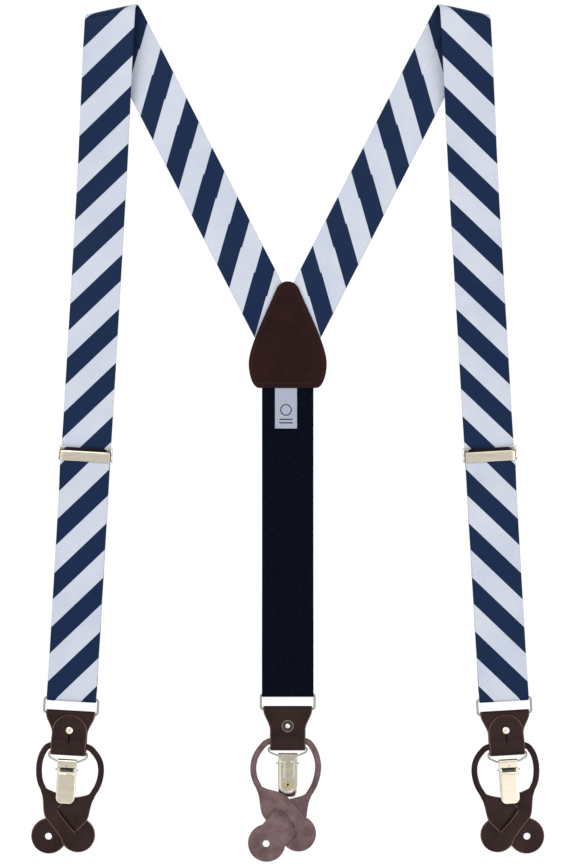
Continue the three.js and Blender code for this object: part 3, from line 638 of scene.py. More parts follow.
# places and shared heights, in millimetres in each leg's own frame
heights = {"bar": 2.4, "strapWrap": 1.65, "tabWrap": 1.7, "adjusterLift": 0.85, "yokeLift": 1.6}
strap = {"width": 34.6, "thick": 1.2, "edge": 0.5, "run": 484.118, "adjuster": 170.2}
leather = {"thick": 1.3, "edge": 0.35, "hem": 1.6, "crease": 0.16}
shoulder = {"backLean": math.radians(27.264), "radius": 6.0, "fall": 120.0, "start": -12.0}
strapLow = heights["bar"] - heights["strapWrap"]
strapHigh = heights["bar"] + heights["strapWrap"]
strapStacked = strapLow + strap["thick"] + 0.3


def legFrame(name):
    # The ring bar's swing gives the leg's place and its across direction; the tab hangs below it.
    swing, hang = joints["ring_swing_" + name], joints["tab_swing_" + name]
    x = np.array(swing["axis"], float)
    y = np.array(swing["pos_m"], float) - np.array(hang["pos_m"], float)
    y /= np.linalg.norm(y)
    z = np.cross(x, y)
    return {"origin": np.array(swing["pos_m"], float) - z * heights["bar"] * mm, "x": x, "y": y, "z": z}


legs = {name: legFrame(name) for name in legNames}


def placed(name, points):
    leg = legs[name]
    points = np.asarray(points, float) * mm
    return leg["origin"] + points[..., :1] * leg["x"] + points[..., 1:2] * leg["y"] + points[...,
        2:] * leg["z"]


def settle(name, part, mirror=False):
    # A part made in a leg's frame, put in its place; mirrored across the leg where asked.
    points = part["points"] * np.array([-1.0, 1, 1]) if mirror else part["points"]
    return {**part, "points": placed(name, points)}


def legPiece(pieceName, leg, parts, look, body, mirror=False):
    return addPiece(pieceName, [settle(leg, part, mirror) for part in parts], look, body)


# striped satin straps
stripes = {
    "frontFirst": 199.3, "frontPeriod": 37.4, "frontGrowth": 0.2, "lowFirst": 10.9, "lowPeriod": 37.9,
    "backFirst": -77.4, "backPeriod": 39.2, "backGrowth": 0.1, "slant": 1.07, "seamJog": 1.0,
}
seam = {"across": 3.4, "rise": 0.16, "width": 0.9}
satinSpread = np.concatenate([np.linspace(-1, 0.1, 9), [0.14, 0.17, 0.19, 0.2, 0.21, 0.23, 0.27],
    np.linspace(0.35, 1, 6)])
satinSection = bandSection(satinSpread, 3)


def stripeCount(distance, first, period, growth=0.0):
    # How many stripe repeats lie between the first stripe and a distance, when each is a little longer.
    away = distance - first
    if growth == 0:
        return away / period
    return (np.sqrt(np.maximum(period ** 2 + 4 * growth * away, 1.0)) - period) / (2 * growth)


def plainPhase(fromRing, across):
    slanted = fromRing - stripes["slant"] * across
    return stripeCount(slanted, stripes["frontFirst"], stripes["frontPeriod"], stripes["frontGrowth"])


def seamedPhase(along, across):
    jog = stripes["seamJog"] * (across > seam["across"])
    slanted = along - stripes["slant"] * across + jog
    return stripeCount(slanted, stripes["backFirst"], stripes["backPeriod"], stripes["backGrowth"])


def lowPhase(fromRing, across):
    return stripeCount(fromRing - stripes["slant"] * across, stripes["lowFirst"], stripes["lowPeriod"])


def rippled(along, across, seed):
    # Slow waves of the cloth along and across, a tenth of a millimetre high.
    waves = np.sin(along / 17 + seed) * 0.05 + np.sin(along / 7.3 + across / 9 + 2 * seed) * 0.03
    return waves + np.sin(across / 5 + along / 31 + seed) * 0.03


def seamStep(across):
    # A pressed seam: the cloth climbs on to its overlap and falls back a little way on.
    return seam["rise"] * smoothStep(across, seam["across"] - seam["width"] / 2, seam["across"]) * (
        1 - smoothStep(across, seam["across"] + 0.6,
        seam["across"] + 7)) - 0.1 * np.exp(-((across - seam["across"] + 0.3) / 0.35) ** 2)


def satinGrid(stations, inset, seed):
    half = strap["width"] / 2 - inset
    across, height = bandOffsets(satinSection, half, strap["thick"] - 2 * inset, strap["edge"])
    along = np.broadcast_to(stations[:, None], across.shape)
    top = height > 0
    puff = rippled(along, across, seed) + 0.1 * (1 - (across / (strap["width"] / 2)) ** 2)
    height = height + np.where(top, 1, -1) * puff * smoothStep(np.abs(height), 0.05, 0.5)
    return along, across, height, top


def rolledPoint(along, across, height, side):
    # Flat to the shoulder, half round a cylinder laid along the crease, then back on itself and down.
    lean, radius = shoulder["backLean"], shoulder["radius"]
    frontLean = math.atan2(abs(legs["left"]["x"][1]), legs["left"]["x"][0])
    crease = (lean - frontLean) / 2
    x = -math.sin(lean) * along + math.cos(lean) * across
    y = math.cos(lean) * along + math.sin(lean) * across
    beside = x * math.cos(crease) + y * math.sin(crease)
    beyond = -x * math.sin(crease) + y * math.cos(crease) + math.pi * radius / 2
    turn = np.clip(beyond / radius, 0, math.pi)
    arm = radius - height
    over = np.maximum(beyond - math.pi * radius, 0)
    out = np.minimum(beyond, 0) + arm * np.sin(turn) - over - math.pi * radius / 2
    up = strap["thick"] / 2 + radius - arm * np.cos(turn) - 2 * radius * smoothStep(over, 0,
        shoulder["fall"])
    sideways = beside * math.cos(crease) - out * math.sin(crease)
    forward = beside * math.sin(crease) + out * math.cos(crease)
    leg = legs["left" if side < 0 else "right"]
    top = leg["origin"] / mm + leg["y"] * strap["run"]
    return np.stack([top[0] - side * sideways, top[1] + forward, up], -1)


backStrap = {"aboveYoke": 16, "rampFrom": 110, "rampTo": 75, "underYoke": 18.5, "beforeCrease": 12}


def addBackStrap(name, side):
    # From the yoke to just before the crease: plain under its fold, seamed face up.
    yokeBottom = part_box("yoke_back")[0].y / mm
    top = legs[name]["origin"][1] / mm + legs[name]["y"][1] * strap["run"]
    length = (top - yokeBottom - backStrap["aboveYoke"]) / math.cos(shoulder["backLean"])
    start = -length - strap["width"]
    stations, inset = roundedEnds(shoulder["start"] - start, 2.0, strap["edge"], last=False)
    along, across, height, seamed = satinGrid(start + stations, inset, 1.3)
    height = height + np.where(seamed, seamStep(across), 0)
    lift = heights["yokeLift"] * smoothStep(
        -along, length - backStrap["rampFrom"], length - backStrap["rampTo"])
    points = rolledPoint(along, across, height, side)
    points[..., 2] += lift
    phase = np.where(seamed, seamedPhase(along, across), plainPhase(strap["run"] - along, across))
    weave = np.stack([across, along], -1)
    piece = addPiece(f"satinStrapBack_{name}", [{"points": points * mm, "phase": phase, "weave": weave}],
        "satin", uv=True)
    meet = yokeBottom + backStrap["underYoke"]
    trimmed(piece, (side * 0.15 * mm, 0, 0), (-side, 0, 0))
    trimmed(piece, (0, meet * mm, 0), (0, -1, 0))
    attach(piece, "root")
    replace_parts(piece, f"strap_back_{name}")


def trimmed(piece, point, outward):
    # Cuts off what lies past a plane and closes the cut.
    work = bmesh.new()
    work.from_mesh(piece.data)
    everything = work.verts[:] + work.edges[:] + work.faces[:]
    cut = bmesh.ops.bisect_plane(work, geom=everything, plane_co=point, plane_no=outward, clear_outer=True)
    edges = [e for e in cut["geom_cut"] if isinstance(e, bmesh.types.BMEdge) and e.is_boundary]
    bmesh.ops.contextual_create(work, geom=edges)
    work.to_mesh(piece.data)
    work.free()


chestStrap = {
    "endGap": 4, "rollEnd": 34, "bumpNear": 8, "bumpFar": 26, "rampFrom": 140, "rampTo": 60,
    "blendFrom": 90, "blendTo": 12, "beforeCrease": 12,
}


def addChestStrap(name, side):
    # Over the shoulder, down the chest, under the adjuster and on to the ring, plain face up.
    reach = strap["run"] - chestStrap["endGap"]
    rollFine = np.linspace(shoulder["start"], chestStrap["rollEnd"], 60)
    rest, inset = roundedEnds(reach - chestStrap["rollEnd"], 2.2, strap["edge"], first=False)
    stations = np.concatenate([rollFine, chestStrap["rollEnd"] + rest[1:]])
    inset = np.concatenate([0 * rollFine, inset[1:]])
    along, across, height, seamed = satinGrid(stations, inset, 0.4)
    height = height - np.where(seamed, -0.3 * seamStep(across), 0)
    points = rolledPoint(along, across, height, side)
    adjusterAt = strap["run"] - strap["adjuster"]
    low = strapLow - strap["thick"] / 2
    near, far = chestStrap["bumpNear"], chestStrap["bumpFar"]
    bump = smoothStep(along, adjusterAt - far, adjusterAt - near)
    bump = bump * (1 - smoothStep(along, adjusterAt + near, adjusterAt + far))
    climb = smoothStep(along, adjusterAt - chestStrap["rampFrom"], adjusterAt - chestStrap["rampTo"])
    points[..., 2] += low * climb + heights["adjusterLift"] * bump
    phase = np.where(seamed, seamedPhase(along, across), plainPhase(strap["run"] - along, across))
    weave = np.stack([across, along], -1)
    piece = addPiece(f"satinStrapChest_{name}", [{"points": points * mm, "phase": phase, "weave": weave}],
        "satin", uv=True)
    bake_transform(piece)
    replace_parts(piece, f"strap_chest_{name}", f"strap_under_{name}")


adjuster = {
    "foldBarY": -0.6, "foldBarZ": 4.6, "foldBarRadius": 0.6, "barWrap": 1.5, "tuck": 8.0,
    "halfWidth": 18.7, "cheek": 0.8,
    "low": -4.4, "high": 5.6, "plate": 0.7, "cheekHeight": 6.0, "pivotY": 4.9, "pivotZ": 4.7, "face": 6.7,
    "slope": 3.2,
    "leverTop": 7.9, "leverThick": 0.8,
}


def addLowStrap(name, side):
    # Round the ring's bar and up to the adjuster's fold bar, with its end tucked under.
    barY, barZ, wrap = strap["adjuster"] + adjuster["foldBarY"], adjuster["foldBarZ"], adjuster["barWrap"]
    top = barZ + wrap
    profile = [(3.7, strapLow)] + arc(0, heights["bar"], heights["strapWrap"], -90, -270, 16)
    profile += line(1.5, barY - 0.5, 80,
        lambda y: strapStacked + (strapHigh - strapStacked) * (1 - smoothStep(y, 1, 24))
                    + (top - strapStacked) * smoothStep(y, barY - 30, barY - 4))
    profile += arc(barY, barZ, wrap, 90, -90, 12) + [(barY - adjuster["tuck"], barZ - wrap)]
    path = np.array([(0.0, y, z) for y, z in profile])
    length = pathLength(path)
    stations, inset = roundedEnds(length, 1.6, strap["edge"])
    centre, direction = followed(path, stations)
    up = np.stack([0 * stations, -direction[:, 2], direction[:, 1]], -1)
    rightwards = np.tile([1.0, 0, 0], (len(stations), 1))
    along, across, height, outer = satinGrid(stations, inset, 2.1)
    points = carried(centre, rightwards, up, (across, height))
    fromRing = np.broadcast_to(centre[:, 1:2], across.shape)
    hand = -side
    phase = lowPhase(np.where(outer, fromRing, fromRing + 21), hand * across)
    weave = np.stack([across, along], -1)
    part = {"points": placed(name, points), "phase": phase, "weave": weave}
    piece = addPiece(f"satinStrapLow_{name}", [part], "satin", uv=True)
    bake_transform(piece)
    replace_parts(piece, f"strap_over_{name}")


for name, side in sideSign.items():
    addBackStrap(name, side)
    addChestStrap(name, side)
    addLowStrap(name, side)
print("satin straps made")


# elastic webbing
elastic = {"width": 36.0, "thick": 1.2, "edge": 0.45, "rib": 1.35, "ribDepth": 0.07,
    "ringLap": 4.0}
webbingSection = bandSection(np.linspace(-1, 1, 13), 3)


def ribbed(height, along):
    # Fine ribs across the webbing: the cloth swells and narrows by a cosine of the distance along.
    swell = elastic["ribDepth"] * np.cos(2 * math.pi * along / elastic["rib"])
    return height + np.sign(height) * swell * smoothStep(np.abs(height), 0.2, 0.6)


elasticRun = {"yokeRamp": (50, 4), "ringRamp": (24, 90), "underYoke": 18.2, "blendFrom": 34, "blendTo": 6}


def addElastic():
    bar = legs["back"]["origin"][1] / mm
    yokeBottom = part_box("yoke_back")[0].y / mm
    level = legs["back"]["origin"][2] / mm - strapLow
    bottom = bar + elastic["ringLap"]
    rest = elastic["thick"] / 2
    (yokeFar, yokeNear), (ringNear, ringFar) = elasticRun["yokeRamp"], elasticRun["ringRamp"]
    heightAt = lambda y: (rest
                          + heights["yokeLift"] * smoothStep(y, yokeBottom - yokeFar, yokeBottom - yokeNear)
                          + (level - rest) * (1 - smoothStep(y, bottom + ringNear, bottom + ringFar)))
    profile = line(bottom, yokeBottom + elasticRun["underYoke"], 160, heightAt)
    points, stations, (_, height) = sideSheet(
        profile, lambda y, s: elastic["width"] / 2 + 0 * s, elastic["thick"], elastic["edge"],
        webbingSection, step=0.34, ends=(False, True))
    swell = ribbed(height, stations[:, None]) - height
    points[..., 2] += swell
    part = {"points": points * mm}
    piece = addPiece("elasticWebbing", [part], "webbing")
    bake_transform(piece)
    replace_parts(piece, "elastic")


def addElasticEnd():
    # The webbing's end, round the back ring's bar and stitched to itself.
    profile = [(elastic["ringLap"] - 0.03, strapLow)] + arc(0, heights["bar"], heights["strapWrap"],
        -90, -270, 16)
    profile += line(1.5, 24, 14,
        lambda y: strapStacked + (strapHigh - strapStacked) * (1 - smoothStep(y, 1, 16)))
    points, *_ = sideSheet(
        profile, lambda y, s: elastic["width"] / 2 - 0.02 + 0 * s, elastic["thick"], elastic["edge"],
        webbingSection, step=0.34,
        ends=(False, True))
    piece = legPiece("elasticFold", "back", [{"points": points}], "webbing", "elastic_end")
    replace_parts(piece, "elastic_end")


addElastic()
addElasticEnd()
print("elastic made")


# leather
leatherSection = bandSection(np.linspace(-1, 1, 9), 3, hem=(0.95, 0.8, 0.65, 0.5, 0.35))
stitch = {"inset": 2.2, "pitch": 2.6, "length": 1.9, "radius": 0.16}
yoke = {"width": 54.5, "height": 75.6, "tip": 8.2, "flatBottom": 40.0, "widest": 17.0, "frontMiddle": 3.75}


def bezier(a, b, c, d, steps=24):
    t = np.linspace(0, 1, steps)[:, None]
    a, b, c, d = (np.array(point, float) for point in (a, b, c, d))
    return (1 - t) ** 3 * a + 3 * (1 - t) ** 2 * t * b + 3 * (1 - t) * t * t * c + t ** 3 * d


def creased(across, height, half, depth=leather["crease"]):
    # A pressed line a little way in from each cut edge, on both faces.
    inset = np.asarray(half, float)[:, None] - np.abs(across)
    groove = depth * np.exp(-((inset - 1.35) / 0.28) ** 2)
    return height - np.sign(height) * groove * smoothStep(np.abs(height), 0.25, 0.6)


def leatherSheet(profile, halfAt, step=0.6, thick=leather["thick"], ends=(True, True)):
    # A leather band with rounded cut edges and a pressed line along them; its rim is the cut edge, with the
    # painted highlight.
    path = np.array([(0.0, y, z) for y, z in profile])
    stations, inset = roundedEnds(pathLength(path), step, leather["edge"], *ends)
    centre, along = followed(path, stations)
    up = np.stack([0 * stations, -along[:, 2], along[:, 1]], -1)
    half = np.maximum(halfAt(centre[:, 1], stations) - inset, 0.03)
    across, height = bandOffsets(leatherSection, half, thick - 2 * inset, leather["edge"],
        leather["hem"] + 0.4)
    height = creased(across, height, half)
    points = carried(centre, np.tile([1.0, 0, 0], (len(stations), 1)), up, (across, height))
    rim = np.maximum((np.abs(leatherSection[1]) == 2)[None] * 1.0, (inset > 0.02)[:, None] * 1.0)
    return {"points": points, "rim": rim, "fleshAndShade": np.broadcast_to(leatherSection[5] < 0, across.shape)}


def yokeOutline():
    # Right half of the yoke from the middle of its lower edge to its tip, as (x, y).
    half, tip, height, widest = yoke["width"] / 2, yoke["tip"], yoke["height"], yoke["widest"]
    flat = yoke["flatBottom"] / 2
    side = bezier((flat, 0), (flat + 4, 0), (half, widest - 9), (half, widest))
    slope = bezier((half, widest), (half, widest + 12), (tip + 8, height - 26),
        (tip * 0.95, height - tip * 0.75), 60)
    top = bezier((tip * 0.95, height - tip * 0.75), (tip * 0.55, height + 0.5), (-tip * 0.55, height + 0.5),
                 (-tip * 0.95, height - tip * 0.75), 41)[:21]
    return np.vstack([side, slope[1:], top[1:]])


def addYoke():
    outline = yokeOutline()
    y0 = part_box("yoke_back")[0].y / mm
    reach = outline[-1, 1]
    halfAt = lambda y, s: np.interp(y - y0, outline[:, 1], outline[:, 0])
    for node, middle in (("yoke_back", leather["thick"] / 2), ("yoke_front", yoke["frontMiddle"])):
        rows = np.concatenate([np.linspace(0, reach - 4, 130),
            reach - 4 * (np.linspace(1, 0, 22)[1:]) ** 2])
        part = leatherSheet([(y0 + y, middle) for y in rows], halfAt, step=0.45)
        bulge = 0.22 * np.cos(part["points"][..., :1] / 17) * smoothStep(part["points"][..., 1:2] - y0,
            2, 20)
        part["points"][..., 2:] += bulge if node == "yoke_front" else 0
        part["points"] *= mm
        piece = addPiece("leather" + node.title().replace("_", ""), [part], "yokeLeather", "root")
        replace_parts(piece, node)
    addStitches(outline, y0)


def addStitches(outline, y0):
    # Short threads laid end to end just inside the yoke's edge, and a row along its foot.
    tangent = np.gradient(outline, axis=0)
    tangent /= np.linalg.norm(tangent, axis=1, keepdims=True)
    inner = outline + np.stack([-tangent[:, 1], tangent[:, 0]], -1) * stitch["inset"]
    inner = inner[(inner[:, 0] > 0) & (inner[:, 1] > 2.2)]
    right = np.column_stack([inner[:, 0], inner[:, 1] + y0, 0 * inner[:, 0]])
    foot = np.array([(-19.5, y0 + 3.2, 0), (19.5, y0 + 3.2, 0)])
    parts = []
    for line3 in (right, right * np.array([-1, 1, 1]), foot):
        for start in np.arange(0.4, pathLength(line3) - stitch["pitch"], stitch["pitch"]):
            points, _ = followed(line3, start + np.linspace(0, stitch["length"], 5))
            lift = 4.42 + 0.22 * np.cos(points[:, 0] / 17) * smoothStep(points[:, 1] - y0, 2, 20)
            points[:, 2] = lift - stitch["radius"] + np.array([-0.12, 0.1, 0.16, 0.1, -0.12])
            thread = rod(points, stitch["radius"], sides=6, step=0.5)
            parts.append({"points": thread["points"] * mm})
    piece = addPiece("yokeStitches", parts, "thread", "root")
    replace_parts(piece)


label = {"width": 15.4, "thick": 0.4, "middle": 3.3, "offset": 1.2}


def addLabel():
    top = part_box("yoke_back")[0].y / mm + 1.5
    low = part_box("label")[0].y / mm
    drop = lambda y: label["middle"] - heights["yokeLift"] * (1
        - smoothStep(y, top - 51.5, top - 5.5)) + 0.07 * np.sin(y / 4)
    points, stations, (across, _) = sideSheet(
        line(low, top, 60, drop), lambda y, s: label["width"] / 2 + 0 * s, label["thick"], 0.15,
        bandSection(np.linspace(-1, 1, 7), 2), step=0.7)
    along = np.broadcast_to(stations[:, None], across.shape)
    points[..., 0] -= label["offset"]
    part = {"points": points * mm, "phase": 0 * along, "weave": np.stack([across, along], -1)}
    piece = addPiece("wovenLabel", [part], "tape", "root", uv=True)
    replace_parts(piece, "label")


addYoke()
addLabel()
print("yoke and label made")


# hardware of each leg
ring = {"halfWidth": 18.75, "span": 10.8, "corner": 2.2, "radius": 0.75, "butt": 0.25}
tab = {"top": 34.2, "bottom": 24.8, "taper": 16.0, "foldY": -36.1, "foldZ": 3.75, "foldRadius": 3.05,
    "returnEnd": -27.0}
flap = {"half": 12.3, "tipY": -11.2, "low": 3.9, "high": 6.8, "slitTop": 1.5, "slitFoot": 0.55,
    "slitEnd": -31.0}
stud = {"y": -22.2, "headLow": 4.85, "head": 2.85, "headHeight": 1.5, "flange": 4.1}
bail = {"radius": 0.6, "halfWidth": 13.3, "topY": -37.6, "bottomY": -43.6, "lowerHalf": 7.6,
    "shoulderY": -40.9, "knuckleZ": 6.4}
clip = {
    "half": 6.7, "plate": 0.8, "bottom": -70.1, "middle": 5.1, "round": 6.2, "rimWidth": 1.5,
    "rimProud": 0.3,
    "ribX": 3.35, "ribWidth": 1.35, "ribTop": -47.6, "ribFoot": -58.4, "ribProud": 0.5, "roll": 1.3,
    "bracketEnd": -47.75,
    "pinY": -49.2, "pinZ": 6.9, "pinRadius": 0.5, "pinHalf": 8.1, "eyeletY": -63.8, "eyelet": 2.25,
    "bore": 0.95,
    "padHalf": 5.5, "padTop": -55.3, "padBottom": -72.3, "padMiddle": 6.35,
    "coverHalf": 6.55, "coverTop": -50.7, "coverBottom": -72.9, "coverMiddle": 7.6, "coverCorner": 4.2,
}


def prism(outline, low, high, corner=0.1):
    # An outline carried from low to high, drawn in towards its middle by the corner at both ends.
    outline = np.array(outline, float)
    middle = outline.mean(0)
    out = outline - middle
    small = middle + out * (1 - corner / np.maximum(np.linalg.norm(out, axis=1, keepdims=True), 0.3))
    rows = [(small, low), (outline, low + corner), (outline, high - corner), (small, high)]
    return {"points": np.stack([np.column_stack([shape, np.full(len(shape), z)]) for shape, z in rows])}


def acrossPrism(outline, low, high, corner=0.1):
    # The same, with the outline in (y, z), carried across from low to high.
    return {"points": prism(outline, low, high, corner)["points"][..., [2, 0, 1]]}


def tabHalf(y, along):
    width = tab["top"] + (tab["bottom"] - tab["top"]) * smoothStep(-9.1 - y, 1.5, tab["taper"])
    return width / 2


def addTab(name):
    low, top = heights["bar"] - heights["tabWrap"], heights["bar"] + heights["tabWrap"]
    folded = arc(tab["foldY"], tab["foldZ"], tab["foldRadius"], -150, -90, 8)
    folded += line(-35.1, -11.8, 30, lambda y: low) + arc(-ring["span"], heights["bar"],
        heights["tabWrap"], -90, 90, 14)
    folded += line(-11.8, tab["returnEnd"], 16, lambda y: top - 1.8 * smoothStep(-y, 10.8, 19.8))
    piece = legPiece(f"leatherTab_{name}", name, [leatherSheet(folded, tabHalf)], "leather", f"tab_{name}")
    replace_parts(piece, f"tab_{name}")


def flapHalf(y, along):
    round_ = np.sqrt(np.maximum(flap["half"] ** 2 - np.maximum(y - flap["tipY"] + flap["half"], 0) ** 2, 0))
    return np.where(along > 8, round_, flap["half"])


def addFlap(name):
    rise = lambda y: (flap["high"] + (flap["low"] - flap["high"]) * smoothStep(y, -31.5, -25.1)
                      + 1.8 * smoothStep(y, -20.3, -11.3))
    folded = arc(tab["foldY"], tab["foldZ"], tab["foldRadius"], -155, -270, 16)
    tipward = np.concatenate([np.linspace(-35.1, -14, 36),
        flap["tipY"] - 2.8 * np.linspace(1, 0, 22)[1:] ** 2])
    folded += [(y, float(rise(y))) for y in tipward]
    piece = addPiece(f"leatherFlap_{name}", [settle(name, leatherSheet(folded, flapHalf, step=0.35))],
        ["leather", "suede"])
    y, end = stud["y"], flap["slitEnd"]
    angle = np.linspace(0, 2 * math.pi, 20, endpoint=False)
    hole = np.column_stack([1.75 * np.cos(angle), y - 0.25 + 1.75 * np.sin(angle)])
    slit = [(-flap["slitTop"] / 2, y), (-flap["slitFoot"] / 2, end), (flap["slitFoot"] / 2, end),
        (flap["slitTop"] / 2, y)]
    cutters = [settle(name, prism(hole, 2.6, 10)), settle(name, prism(slit, 2.6, 12, 0.02))]
    punched(piece, cutters)
    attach(piece, f"flap_{name}")
    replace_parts(piece, f"flap_{name}")


def addStud(name):
    head, height, low, y = stud["head"], stud["headHeight"], stud["headLow"], stud["y"]
    angle = np.radians(np.linspace(0, 90, 9))
    dome = [(0.001, low)] + [(1.2, low), (head * 0.9, low), (head, low + 0.25)]
    dome += [(head * math.cos(a),
        low + 0.3 + (height - 0.3) * math.sin(a)) for a in angle[1:-1]] + [(0.001, low + height)]
    shaft = [(0.001, 0.3), (1.2, 0.3), (1.2, low + 0.1), (0.001, low + 0.1)]
    proud = 1.0 if name == "back" else 0.06
    post = [(0.001, 0.2), (1.6, 0.2), (1.6, -0.35 * proud), (1.2, -0.62 * proud), (0.6, -0.72 * proud),
        (0.001, -0.74 * proud)]
    flange, low = stud["flange"], -0.12 * proud
    rim = [(flange - 0.4, 0.15), (flange, 0.15), (flange - 0.1, low), (flange - 0.28, low)]
    parts = [turned(profile, 0, y) for profile in (dome, shaft, post)] + [turned(rim + rim[:1], 0, y)]
    piece = legPiece(f"rivet_{name}", name, parts, "nickel", f"tab_{name}")
    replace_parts(piece, f"stud_{name}")
    washer = [(0.001, 0.2), (flange - 0.3, 0.2), (flange - 0.3, -0.02 * proud), (2.6, -0.14 * proud),
        (1.3, -0.18 * proud), (0.001, -0.18 * proud)]
    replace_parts(legPiece(f"rivetBack_{name}", name, [turned(washer, 0, y)], "rubber", f"tab_{name}"))


def addWires(name):
    half, span, butt, z = ring["halfWidth"], ring["span"], ring["butt"], heights["bar"]
    corners = [(butt, -span), (half, -span), (half, 0), (-half, 0), (-half, -span), (-butt, -span)]
    path = roundedPath([(x, y, z) for x, y in corners], ring["corner"])
    piece = legPiece(f"ringWire_{name}", name, [rod(path, ring["radius"])], "wire", f"ring_{name}")
    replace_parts(piece, f"ring_{name}")
    half, top, low, z = bail["halfWidth"], bail["topY"], bail["bottomY"], tab["foldZ"]
    right = [(0.2, top, z), (half, top, z), (half, bail["shoulderY"], (z + bail["knuckleZ"]) / 2),
             (bail["lowerHalf"], low, bail["knuckleZ"])]
    corners = right + [(-x, y, height) for x, y, height in right[::-1]]
    piece = legPiece(f"bailWire_{name}", name, [rod(roundedPath(corners, 1.5), bail["radius"], 12)],
        "wire", f"bail_{name}")
    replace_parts(piece, f"bail_{name}")


def plateHalf(y, along):
    # Full width above, half round below.
    centre = clip["bottom"] + clip["round"]
    fall = np.maximum(centre - y, 0)
    rounded = clip["half"] - clip["round"] + np.sqrt(np.maximum(clip["round"] ** 2 - fall ** 2, 0))
    return np.where(along < 12, rounded, clip["half"])


def addClipPlate(name):
    # One strip: up the back, round the bail and down again as a short bracket; pressed rim and ribs on its
    # back.
    knuckle = bail["knuckleZ"]
    start = clip["bottom"] + 3 * np.linspace(0, 1, 16) ** 2
    strip = [(y, clip["middle"]) for y in start] + line(clip["bottom"] + 3.5, bail["bottomY"], 50,
        lambda y: clip["middle"])[:-1]
    strip += arc(bail["bottomY"], knuckle, clip["roll"], -90, 90, 14) + line(bail["bottomY"] - 0.6,
        clip["bracketEnd"], 6, lambda y: knuckle + clip["roll"])
    points, stations, (_, height) = sideSheet(
        strip, plateHalf, clip["plate"], 0.25, bandSection(np.linspace(-1, 1, 41), 3), step=0.35)
    x, y = points[..., 0], points[..., 1]
    onPlate = (stations < clip["bracketEnd"] - clip["bottom"] + 2)[:, None] & (height < -0.1)
    centre = clip["bottom"] + clip["round"]
    outwards = np.hypot(np.maximum(np.abs(x) - (clip["half"] - clip["round"]), 0),
        np.minimum(y - centre, 0))
    inset = np.where(y < centre, clip["round"] - outwards, clip["half"] - np.abs(x))
    ribs = (1 - smoothStep(np.abs(np.abs(x) - clip["ribX"]), clip["ribWidth"] * 0.55, clip["ribWidth"])) * (
        smoothStep(y, clip["ribFoot"] - 0.8, clip["ribFoot"] + 0.8)
        * (1 - smoothStep(y, clip["ribTop"] - 0.5, clip["ribTop"] + 0.5)))
    proud = clip["rimProud"] * (1
        - smoothStep(inset, clip["rimWidth"] - 0.4, clip["rimWidth"] + 0.2)) + clip["ribProud"] * ribs
    points[..., 2] -= np.where(onPlate, proud, 0)
    hump = 0.55 * (1
        - smoothStep(np.abs(x), 1.6, 2.7)) * (np.abs(y - bail["bottomY"] - 0.3) < 2.2) * (points[...,
        2] > knuckle - 0.6) * (height > 0.1)
    points[..., 2] += hump * 0.3
    points[..., 1] += hump * (y > bail["bottomY"])
    ears = [box3((side * 6.3 - 0.4, -50.4, 4.75), (side * 6.3 + 0.4, -44.6, 7.85)) for side in (-1, 1)]
    piece = addPiece(f"clipPlate_{name}", [settle(name, {"points": points})],
        "plate" if name == "back" else "nickel")
    spade = [(0.001, -45.4), (0.35, -46.0), (0.9, -46.8), (0.75, -47.3), (0.35, -47.5), (0.45, -48.6),
        (-0.45, -48.6), (-0.35, -47.5),
             (-0.75, -47.3), (-0.9, -46.8), (-0.35, -46.0)]
    punched(piece, [settle(name, prism(spade, 7.0, 9.0, 0.02))])
    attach(piece, f"clip_{name}")
    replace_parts(piece, f"clip_back_plate_{name}")
    legPiece(f"clipEars_{name}", name, ears, "nickel", f"clip_{name}")


def addClipFittings(name):
    low, top = clip["padBottom"], clip["padTop"]
    corner = lambda y, s: clip["padHalf"] - 1.6 * (1 - smoothStep(y, low, low + 1.8))
    points, *_ = sideSheet(line(low, top, 12, lambda y: clip["padMiddle"]), corner, 1.1, 0.3,
        bandSection(np.linspace(-1, 1, 7), 2))
    # A black disc in the eyelet's bore, part of the jaw pad: painted shade for the dark hole.
    bore = turned([(0.001, 4.45), (clip["bore"], 4.45), (clip["bore"], 4.9), (0.001, 4.9)], 0,
        clip["eyeletY"], 20)
    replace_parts(legPiece(f"jawPad_{name}", name, [{"points": points}, bore], "rubber", f"clip_{name}"),
        f"clip_jaw_pad_{name}")
    outer, bore = clip["eyelet"], clip["bore"]
    profile = [(outer, 4.75), (outer, 4.3), (outer - 0.3, 4.02), (bore + 0.55, 3.92), (bore + 0.1, 4.15),
        (bore, 4.6), (bore, 6.7),
               (bore + 0.5, 6.75), (bore + 0.5, 4.75)]
    piece = legPiece(f"eyelet_{name}", name, [turned(profile + profile[:1], 0, clip["eyeletY"])], "brass",
        f"clip_{name}")
    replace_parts(piece, f"clip_eyelet_{name}")
    y, z, half = clip["pinY"], clip["pinZ"], clip["pinHalf"]
    pin = rod(np.array([(-half, y, z), (0, y, z), (half, y, z)]), clip["pinRadius"], 14)
    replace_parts(legPiece(f"clipPin_{name}", name, [pin], "wire", f"clip_{name}"), f"clip_pin_{name}")
    # A black rod along the pin under the knuckle: painted shade for the dark band below the hinge.
    hingeShade = rod(np.array([(-4.6, y, z), (0, y, z), (4.6, y, z)]), 0.85, 16, 0.25)
    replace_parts(legPiece(f"clipHingeShade_{name}", name, [hingeShade], "rubber", f"clip_{name}"))


def coverHalfAt(y, along):
    corner = clip["coverCorner"]
    fall = np.maximum(clip["coverBottom"] + corner - y, 0)
    return clip["coverHalf"] - corner + np.sqrt(np.maximum(corner ** 2 - fall ** 2, 0))


